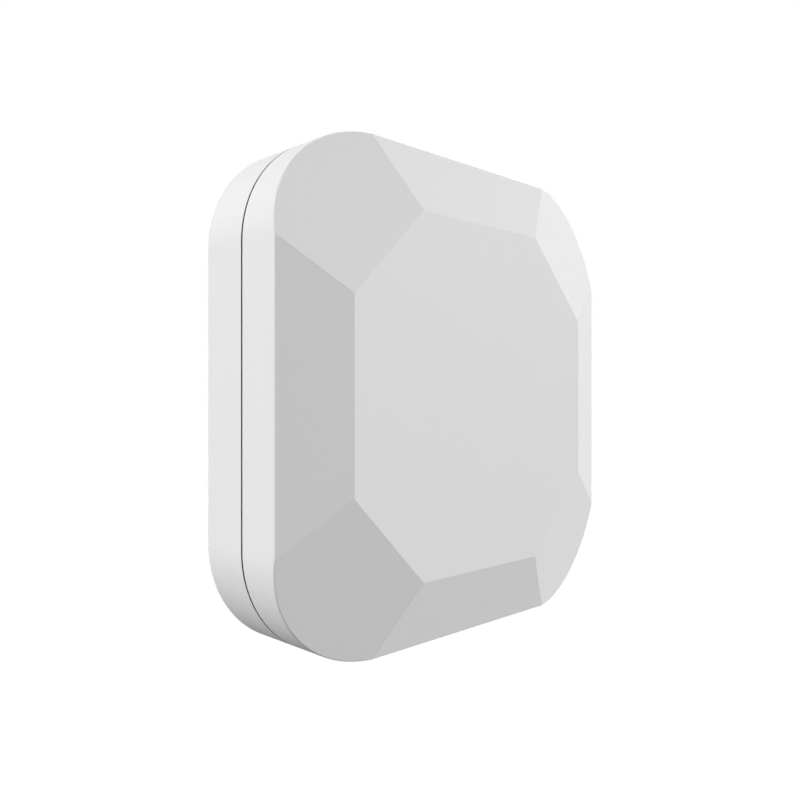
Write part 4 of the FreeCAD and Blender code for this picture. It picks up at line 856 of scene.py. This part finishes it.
def rounded_line(points, radius, steps):
    """A line of points with its inner corners rounded."""
    line = [Vector(points[0])]
    for before, corner, after in zip(points, points[1:], points[2:]):
        corner = Vector(corner)
        arms = [Vector(before) - corner, Vector(after) - corner]
        reach = min(radius, 0.45 * arms[0].length, 0.45 * arms[1].length)
        start, end = (corner + arm.normalized() * reach for arm in arms)
        for step in range(steps + 1):
            share = step / steps
            line.append(start * (1 - share) ** 2 + corner * 2 * share * (1 - share) + end * share ** 2)
    return line + [Vector(points[-1])]


def turned(points, radius, segments, steps=3):
    """A solid turned about the depth axis, from radius and depth pairs."""
    shape = bmesh.new()
    line = [shape.verts.new((*point, 0.0)) for point in rounded_line(points, radius, steps)]
    edges = [shape.edges.new(pair) for pair in zip(line, line[1:])]
    bmesh.ops.spin(shape, geom=line + edges, cent=(0, 0, 0), axis=(0, 1, 0), angle=2 * math.pi,
                   steps=segments, use_merge=True)
    bmesh.ops.remove_doubles(shape, verts=shape.verts, dist=WELD)
    bmesh.ops.recalc_face_normals(shape, faces=shape.faces)
    return shape


def point_cloud(points):
    """Loose points on the back of the board, from places in millimetres."""
    shape = bmesh.new()
    for across, up in points:
        shape.verts.new((across * MM, BOARD_BACK, up * MM))
    return shape


# Geometry trees

def new_shape_tree(rule, **sizes):
    """A geometry tree that makes real, in one material, what a rule makes of a given shape."""
    tree = bpy.data.node_groups.new(rule.__name__, "GeometryNodeTree")
    for label, kind in {"Shape": "Geometry", **sizes, "Material": "Material"}.items():
        add_socket(tree, "INPUT", label, kind)
    add_socket(tree, "OUTPUT", "Shape", "Geometry")
    given = readings(tree.nodes.new("NodeGroupInput"))
    whole = add_node(tree, "GeometryNodeRealizeInstances", Geometry=rule(tree, given))
    painted = add_node(tree, "GeometryNodeSetMaterial", Geometry=whole.outputs[0],
                       Material=given["Material"])
    add_node(tree, "NodeGroupOutput", Shape=painted.outputs[0])
    return tree


def instances(tree, points, shape, **scale):
    """A copy of a shape at each point."""
    return add_node(tree, "GeometryNodeInstanceOnPoints", Points=points, Instance=shape,
                    **scale).outputs[0]


def vector_of(tree, **parts):
    """A vector from its parts, where they aren't zero."""
    return add_node(tree, "ShaderNodeCombineXYZ", **parts).outputs[0]


def sweep(tree, given, curve, depth=0.0, **caps):
    """A flat strip along a curve, turned into the board's plane."""
    section = add_node(tree, "GeometryNodeCurvePrimitiveQuadrilateral", Width=given["Width"],
                       Height=given["Height"])
    strip = add_node(tree, "GeometryNodeCurveToMesh", Curve=curve, Profile_Curve=section.outputs[0],
                     **caps)
    return add_node(tree, "GeometryNodeTransform", Geometry=strip.outputs[0],
                    Translation=vector_of(tree, Y=depth), Rotation=(math.pi / 2, 0.0, 0.0)).outputs[0]


def rows_and_columns(tree, given):
    """A shape in rows and columns, from the place of the first."""
    row = add_node(tree, "GeometryNodeMeshLine", Count=given["Count Across"],
                   Start_Location=given["First"], Offset=vector_of(tree, X=given["Pitch Across"]))
    column = add_node(tree, "GeometryNodeMeshLine", Count=given["Count Up"],
                      Offset=vector_of(tree, Z=given["Pitch Up"]))
    points = add_node(tree, "GeometryNodeRealizeInstances",
                      Geometry=instances(tree, row.outputs[0], column.outputs[0]))
    return instances(tree, points.outputs[0], given["Shape"])


def board_tracks(tree, given):
    """Flat copper along lines that are drawn in plan."""
    lines = add_node(tree, "GeometryNodeMeshToCurve", Mesh=given["Shape"])
    upright = add_node(tree, "GeometryNodeSetCurveNormal", mode="Z_UP", Curve=lines.outputs[0])
    return sweep(tree, given, upright.outputs[0], given["Depth"], Fill_Caps=True)


def plated_rings(tree, given):
    """A flat plated ring at each point."""
    circle = add_node(tree, "GeometryNodeCurvePrimitiveCircle", Resolution=given["Sides"],
                      Radius=given["Radius"])
    return instances(tree, given["Shape"], sweep(tree, given, circle.outputs[0]))


def solder_dabs(tree, given):
    """A dab of solder at each point, no two quite the same size."""
    ball = add_node(tree, "GeometryNodeMeshUVSphere", Segments=14, Rings=8, Radius=1.0)
    share = add_node(tree, "FunctionNodeRandomValue", data_type="FLOAT", Seed=given["Seed"])
    limits = [socket for socket in share.inputs
              if socket.type == "VALUE" and socket.name in ("Min", "Max")]
    pour((given["Least"], 1.0), limits)
    value = next(Reading(socket) for socket in share.outputs if socket.type == "VALUE")
    return instances(tree, given["Shape"], ball.outputs["Mesh"], Scale=scaled(given["Size"], value))


ROWS = new_shape_tree(rows_and_columns, Count_Across="Int", Count_Up="Int", Pitch_Across="Float",
                      Pitch_Up="Float", First="Vector")
TRACK_TREE = new_shape_tree(board_tracks, Width="Float", Height="Float", Depth="Float")
RINGS = new_shape_tree(plated_rings, Sides="Int", Radius="Float", Width="Float", Height="Float")
DABS = new_shape_tree(solder_dabs, Size="Vector", Least="Float", Seed="Int")


def grown(shape, tree, finish, **sizes):
    """The shape that a geometry tree makes from a shape."""
    rough = rough_object(shape)
    modifier = rough.modifiers.new("tree", "NODES")
    modifier.node_group = tree
    values = {label.replace("_", " "): value for label, value in sizes.items()}
    values["Material"] = FINISHES[finish]
    for item in tree.interface.items_tree:
        if item.in_out == "INPUT" and item.name in values:
            modifier[item.identifier] = values[item.name]
    mesh = plain_mesh(rough)
    result = shape_of(mesh)
    bpy.data.meshes.remove(mesh)
    return result


def grow_piece(name, shape, tree, finish, slot="contact_metal", **sizes):
    """A piece that a geometry tree makes from a shape."""
    whole = grown(shape, tree, finish, **sizes)
    bmesh.ops.recalc_face_normals(whole, faces=whole.faces)
    new_piece(name, whole, [finish], slot)


def repeat_piece(name, shape, finish, first, count, pitch, *nodes, slot="contact_metal",
                 depth=BOARD_BACK, body="front_unit"):
    """A piece of equal shapes in rows and columns."""
    whole = grown(shape, ROWS, finish, Count_Across=count[0], Count_Up=count[1],
                  Pitch_Across=pitch[0], Pitch_Up=pitch[1], First=(first[0], depth, first[1]))
    new_piece(name, whole, [finish], slot, *nodes, body=body)


# Moulded shells

def corner_reach(point):
    """How far a point lies past the middle of its corner's round."""
    return abs(point.x) - STRAIGHT, abs(point.z) - STRAIGHT


def round_place(point):
    """A point's distance and angle from the middle of its corner's round, or nothing."""
    across, up = corner_reach(point)
    if across < -WELD or up < -WELD:
        return None
    return math.hypot(across, up), math.atan2(up, across)


def smooth_corners(shape):
    """Divide the chords of the large corner rounds, and move the new points out to the round."""
    least, most = CHORD_ANGLES
    chords, radii = [], set()
    for edge in shape.edges:
        ends = [round_place(vertex.co) for vertex in edge.verts]
        if None in ends or ends[0][0] < LARGE_ROUND:
            continue
        same = abs(ends[0][0] - ends[1][0]) < 0.01 * MM
        if same and least < abs(ends[0][1] - ends[1][1]) < most:
            chords.append(edge)
            radii.add(round(ends[0][0], 6))
    before = set(shape.verts)
    bmesh.ops.subdivide_edges(shape, edges=chords, cuts=CHORD_CUTS, use_grid_fill=True)
    for vertex in shape.verts:
        place = round_place(vertex.co)
        if vertex in before or place is None:
            continue
        reach, angle = place
        full = min((radius for radius in radii if radius > reach - WELD), default=reach)
        if full - reach < CHORD_DROP:
            vertex.co.x = math.copysign(STRAIGHT + full * math.cos(angle), vertex.co.x)
            vertex.co.z = math.copysign(STRAIGHT + full * math.sin(angle), vertex.co.z)


def on_outside(edge):
    """Whether an edge lies on the shared outline of cover and base."""
    for vertex in edge.verts:
        beyond = [max(part, 0.0) for part in corner_reach(vertex.co)]
        if abs(math.hypot(*beyond) - OUTSIDE_RADIUS) > 0.02 * MM:
            return False
    return True


def make_shell(node, name):
    """The cover or the base with true corner rounds and its outside edges eased."""
    shape = merged_copy(node)
    smooth_corners(shape)
    rim = cad_box[0].y + RIM_REACH
    outside = [edge for edge in sharp_edges(shape) if on_outside(edge)]
    front_rim = [edge for edge in outside if max(vertex.co.y for vertex in edge.verts) < rim]
    ease(shape, [edge for edge in outside if edge not in front_rim], PARTING_EASE)
    ease(shape, [edge for edge in front_rim if edge.is_valid], RIM_EASE)
    stand_in(node, name, shape)


def make_eased_piece(node, width):
    """A node of the model with all its sharp edges eased."""
    shape = merged_copy(node)
    ease(shape, sharp_edges(shape), width)
    stand_in(node, node + "_eased", shape)


def make_ejector_marks():
    """Round marks that the mould's pins leave in the base."""
    radius, height = EJECTOR_MARK
    across, up = EJECTOR_PLACE
    mark = turned([(0.0, -height), (radius, -height), (radius, height), (0.0, height)],
                  0.04 * MM, 28)
    repeat_piece("ejector_marks", mark, "base_plastic", (-across, -up), (2, 2),
                 (2 * across, 2 * up), slot="base_plastic", depth=BASE_FLOOR, body="base")


# Board pieces

def make_screws():
    """Four pan head screws with a cross recess."""
    radius, rise = SCREW_HEAD
    shank, length = SCREW_SHANK
    screw = rough_object(turned([(0.0, rise), (0.55 * radius, rise), (radius, 0.45 * rise),
                                 (radius, 0.0), (shank, 0.0), (shank, -length), (0.0, -length)],
                                0.35 * MM, 32))
    half, reach, depth = SCREW_CROSS
    cross = bmesh.new()
    for wide, high in ((reach, half), (half, reach)):
        arm = upright_block(wide / 2, high / 2, rise - depth, rise + depth, 0.05 * MM)
        cross.from_mesh(plain_mesh(rough_object(arm)))
    cutter = rough_object(cross)
    cut = screw.modifiers.new("cross_recess", "BOOLEAN")
    cut.operation = "DIFFERENCE"
    cut.use_self = True
    cut.object = cutter
    shape = shape_of(plain_mesh(screw))
    bpy.data.objects.remove(cutter)
    repeat_piece("pan_head_screws", shape, "screw_steel", (-SCREW_ACROSS, -SCREW_UP), (2, 2),
                 (2 * SCREW_ACROSS, 2 * SCREW_UP), "board_screws", slot="screw_steel")


def make_header():
    """The chamfered blocks and the gilded pins of the service header."""
    half, pin_half = HEADER_PITCH / 2 - HEADER_SEAM, PIN_WIDTH / 2
    grid = HEADER_FIRST, (2, 4), (HEADER_PITCH, HEADER_PITCH), "service_header"
    block = upright_block(half, half, 0.0, HEADER_BLOCK, 0.16 * MM, 1)
    repeat_piece("header_blocks", block, "switch_black", *grid, slot="switch_black")
    pin = upright_block(pin_half, pin_half, 0.0, PIN_HEIGHT, 0.03 * MM, 1)
    for vertex in pin.verts:
        if vertex.co.y > PIN_HEIGHT - PIN_TIP / 2:
            vertex.co.x *= PIN_TAPER
            vertex.co.z *= PIN_TAPER
    repeat_piece("header_pins", pin, "gilded", *grid)


def make_chip_ends():
    """Tinned ends and solder on the small chip parts."""
    width, length, height = CHIP_SIZE
    over = 0.015 * MM
    for node, (across, up, count) in CHIP_ROWS.items():
        end = upright_block(width / 2 + over, CHIP_END / 2, 0.0, height + over, 0.04 * MM)
        fillet = turned([(0.0, 0.3 * height), (0.25 * MM, 0.22 * height), (0.42 * MM, 0.0),
                         (0.0, -0.05 * MM)], 0.08 * MM, 16)
        for name, shape, reach in (("_ends", end, (length - CHIP_END) / 2 + over),
                                   ("_solder", fillet, length / 2 + 0.12 * MM)):
            repeat_piece(node + name, shape, "tinned", (across, up - reach), (count, 2),
                         (CHIP_PITCH, 2 * reach))


def make_controller_leads():
    """Tinned leads on the four sides of the controller chip."""
    across, up = CONTROLLER
    run = (CONTROLLER_LEADS - 1) * CONTROLLER_PITCH / 2
    reach = CONTROLLER_HALF + 0.1 * MM
    for name, order in (("upright", 1), ("level", -1)):
        wide, high = LEAD_HALF[::order]
        left, below = (run, reach)[::order]
        lead = upright_block(wide, high, -0.02 * MM, LEAD_HEIGHT, 0.05 * MM)
        repeat_piece("controller_leads_" + name, lead, "tinned", (across - left, up - below),
                     (CONTROLLER_LEADS, 2)[::order], (CONTROLLER_PITCH, 2 * reach)[::order])


def make_radio_pads():
    """Plated edge pads on two sides of the radio module."""
    across, up = RADIO
    run = (RADIO_PADS - 1) * RADIO_PITCH / 2
    pad = turned([(0.0, 0.84 * MM), (0.42 * MM, 0.84 * MM), (0.5 * MM, -0.01 * MM),
                  (0.0, -0.01 * MM)], 0.06 * MM, 18)
    repeat_piece("radio_edge_pads", pad, "gilded", (across - RADIO_HALF, up - run),
                 (2, RADIO_PADS), (2 * RADIO_HALF, RADIO_PITCH))


def make_tracks():
    """Signal and power tracks under the board's green mask."""
    for name, lines, width in (("signal_tracks", TRACKS, TRACK_WIDTH),
                               ("power_tracks", POWER_TRACKS, POWER_WIDTH)):
        plan = bmesh.new()
        for line in lines:
            points = [plan.verts.new((across * MM, up * MM, 0.0)) for across, up in line]
            for pair in zip(points, points[1:]):
                plan.edges.new(pair)
        grow_piece(name, plan, TRACK_TREE, "track", "board_laminate", Width=width,
                   Height=TRACK_HEIGHT, Depth=BOARD_BACK)


def make_rings():
    """Plated vias, and the lands round the screw holes."""
    lands = [(across / MM, up / MM) for across in (-SCREW_ACROSS, SCREW_ACROSS)
             for up in (-SCREW_UP, SCREW_UP)]
    for name, points, finish, sides, radius, width in (
            ("board_vias", VIAS, "track", 16, VIA_RADIUS, VIA_WIDTH),
            ("screw_lands", lands, "tinned", 44, LAND_RADIUS, LAND_WIDTH)):
        grow_piece(name, point_cloud(points), RINGS, finish, Sides=sides, Radius=radius,
                   Width=width, Height=PLATING_HEIGHT)


def make_test_pads():
    """A row of round gilded test pads."""
    across, up, count, pitch = TEST_PADS
    low, high = -0.02 * MM, 0.035 * MM
    pad = turned([(0.0, high), (TEST_PAD_RADIUS, high), (TEST_PAD_RADIUS, low), (0.0, low)],
                 0.02 * MM, 24)
    repeat_piece("test_pads", pad, "gilded", (across, up), (count, 1), (pitch, pitch))


def make_solder_joints():
    """Dabs of solder at the feet of the larger parts."""
    grow_piece("solder_joints", point_cloud(SOLDER_JOINTS), DABS, "tinned", Size=JOINT_SIZE,
               Least=JOINT_LEAST, Seed=JOINT_SEED)


def make_status_light():
    """The white base, resin lens and gilded ends of the status light."""
    low, high = (Vector(corner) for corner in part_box("status_light"))
    step = high.y - LIGHT_BASE
    inset = LIGHT_INSET
    over = 0.01 * MM
    base = eased_block((low.x, step, low.z), high, 0.04 * MM)
    lens = eased_block((low.x + 2 * inset, low.y, low.z + inset),
                       (high.x - 2 * inset, step + 2 * over, high.z - inset), 0.12 * MM, 3)
    for name, shape, finish in (("base", base, "light_base"), ("lens", lens, "light_lens")):
        new_piece("status_light_" + name, shape, [finish], "light_lens", "status_light")
    half = (high.z - low.z) / 2 + over
    end = upright_block(inset + over, half, -LIGHT_BASE - over, 0.0, 0.03 * MM)
    repeat_piece("status_light_ends", end, "gilded", (low.x + inset, low.z + half - over), (2, 1),
                 (high.x - low.x - 2 * inset, 0.0), depth=high.y)


def middle_of(low, high, depth):
    """The middle of a box across and up, at a depth."""
    return Vector(((low[0] + high[0]) / 2, depth, (low[2] + high[2]) / 2))


def make_spring_dome():
    """The metal dome under the button."""
    low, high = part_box("switch_dome")
    middle = middle_of(low, high, low[1])
    radius, rise = (high[0] - low[0]) / 2, high[1] - low[1]
    sheet = 0.3 * rise
    shape = turned([(0.0, rise), (DOME_CROWN, rise), (radius, sheet), (radius, 0.0),
                    (radius - sheet, 0.0), (DOME_CROWN, rise - sheet), (0.0, rise - sheet)],
                   0.35 * MM, 40, 4)
    bmesh.ops.translate(shape, verts=shape.verts, vec=middle)
    dome = stand_in("switch_dome", "spring_dome", shape)
    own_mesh(dome)


def make_capacitor_can():
    """The drawn can of the capacitor, with its rolled groove and round shoulder."""
    low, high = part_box("capacitor_can")
    radius = (high[0] - low[0]) / 2
    groove = 0.5 * MM
    shape = turned([(0.0, high[1]), (radius, high[1]), (radius, low[1] + 4 * groove),
                    (radius - groove, low[1] + 3 * groove), (radius, low[1] + 2 * groove),
                    (radius, low[1]), (0.0, low[1])], 0.45 * MM, 48, 4)
    bmesh.ops.translate(shape, verts=shape.verts, vec=middle_of(low, high, 0.0))
    stand_in("capacitor_can", "capacitor_drawn_can", shape)


def make_cell(node, up, side):
    """One AA cell: steel can, sleeve rolled over both ends, washer and nub."""
    points = [(radius * MM, level + rise * MM)
              for level, part in ((-CELL_LENGTH, CELL_END), (-NUB_HEIGHT, CELL_TOP))
              for radius, rise in part]
    shape = turned(points, 0.3 * MM, 56)
    for face in shape.faces:
        middle = face.calc_center_median()
        radius = math.hypot(middle.x, middle.z)
        top = middle.y > -NUB_HEIGHT - WASHER_DEPTH
        washer = top and WASHER_RADII[0] < radius < WASHER_RADII[1]
        face.material_index = 2 if washer else 1 if radius < STEEL_RADIUS else 0
    turn = Matrix.Rotation(-side * math.pi / 2, 4, "Z")
    place = Matrix.Translation((side * NUB_END, CELL_DEPTH, up))
    bmesh.ops.transform(shape, matrix=place @ turn, verts=shape.verts)
    new_piece(node + "_wrapped", shape, ["cell_sleeve", "screw_steel", "washer"], "cell_sleeve", node)


def dress_nodes():
    """Give every node of the model its finish."""
    for node, piece in NODES.items():
        piece.data.materials.clear()
        piece.data.materials.append(FINISHES[SLOT_OF[node]])


make_stage()
FINISHES = make_finishes()
dress_nodes()
make_shell("front_cover", "cover_shell")
make_shell("rear_base", "base_shell")
for node, width in EASED_NODES.items():
    make_eased_piece(node, width * MM)
make_ejector_marks()
make_screws()
make_header()
make_chip_ends()
make_controller_leads()
make_radio_pads()
make_tracks()
make_rings()
make_test_pads()
make_solder_joints()
make_status_light()
make_spring_dome()
make_capacitor_can()
for node, (up, side) in CELLS.items():
    make_cell(node, up, side)
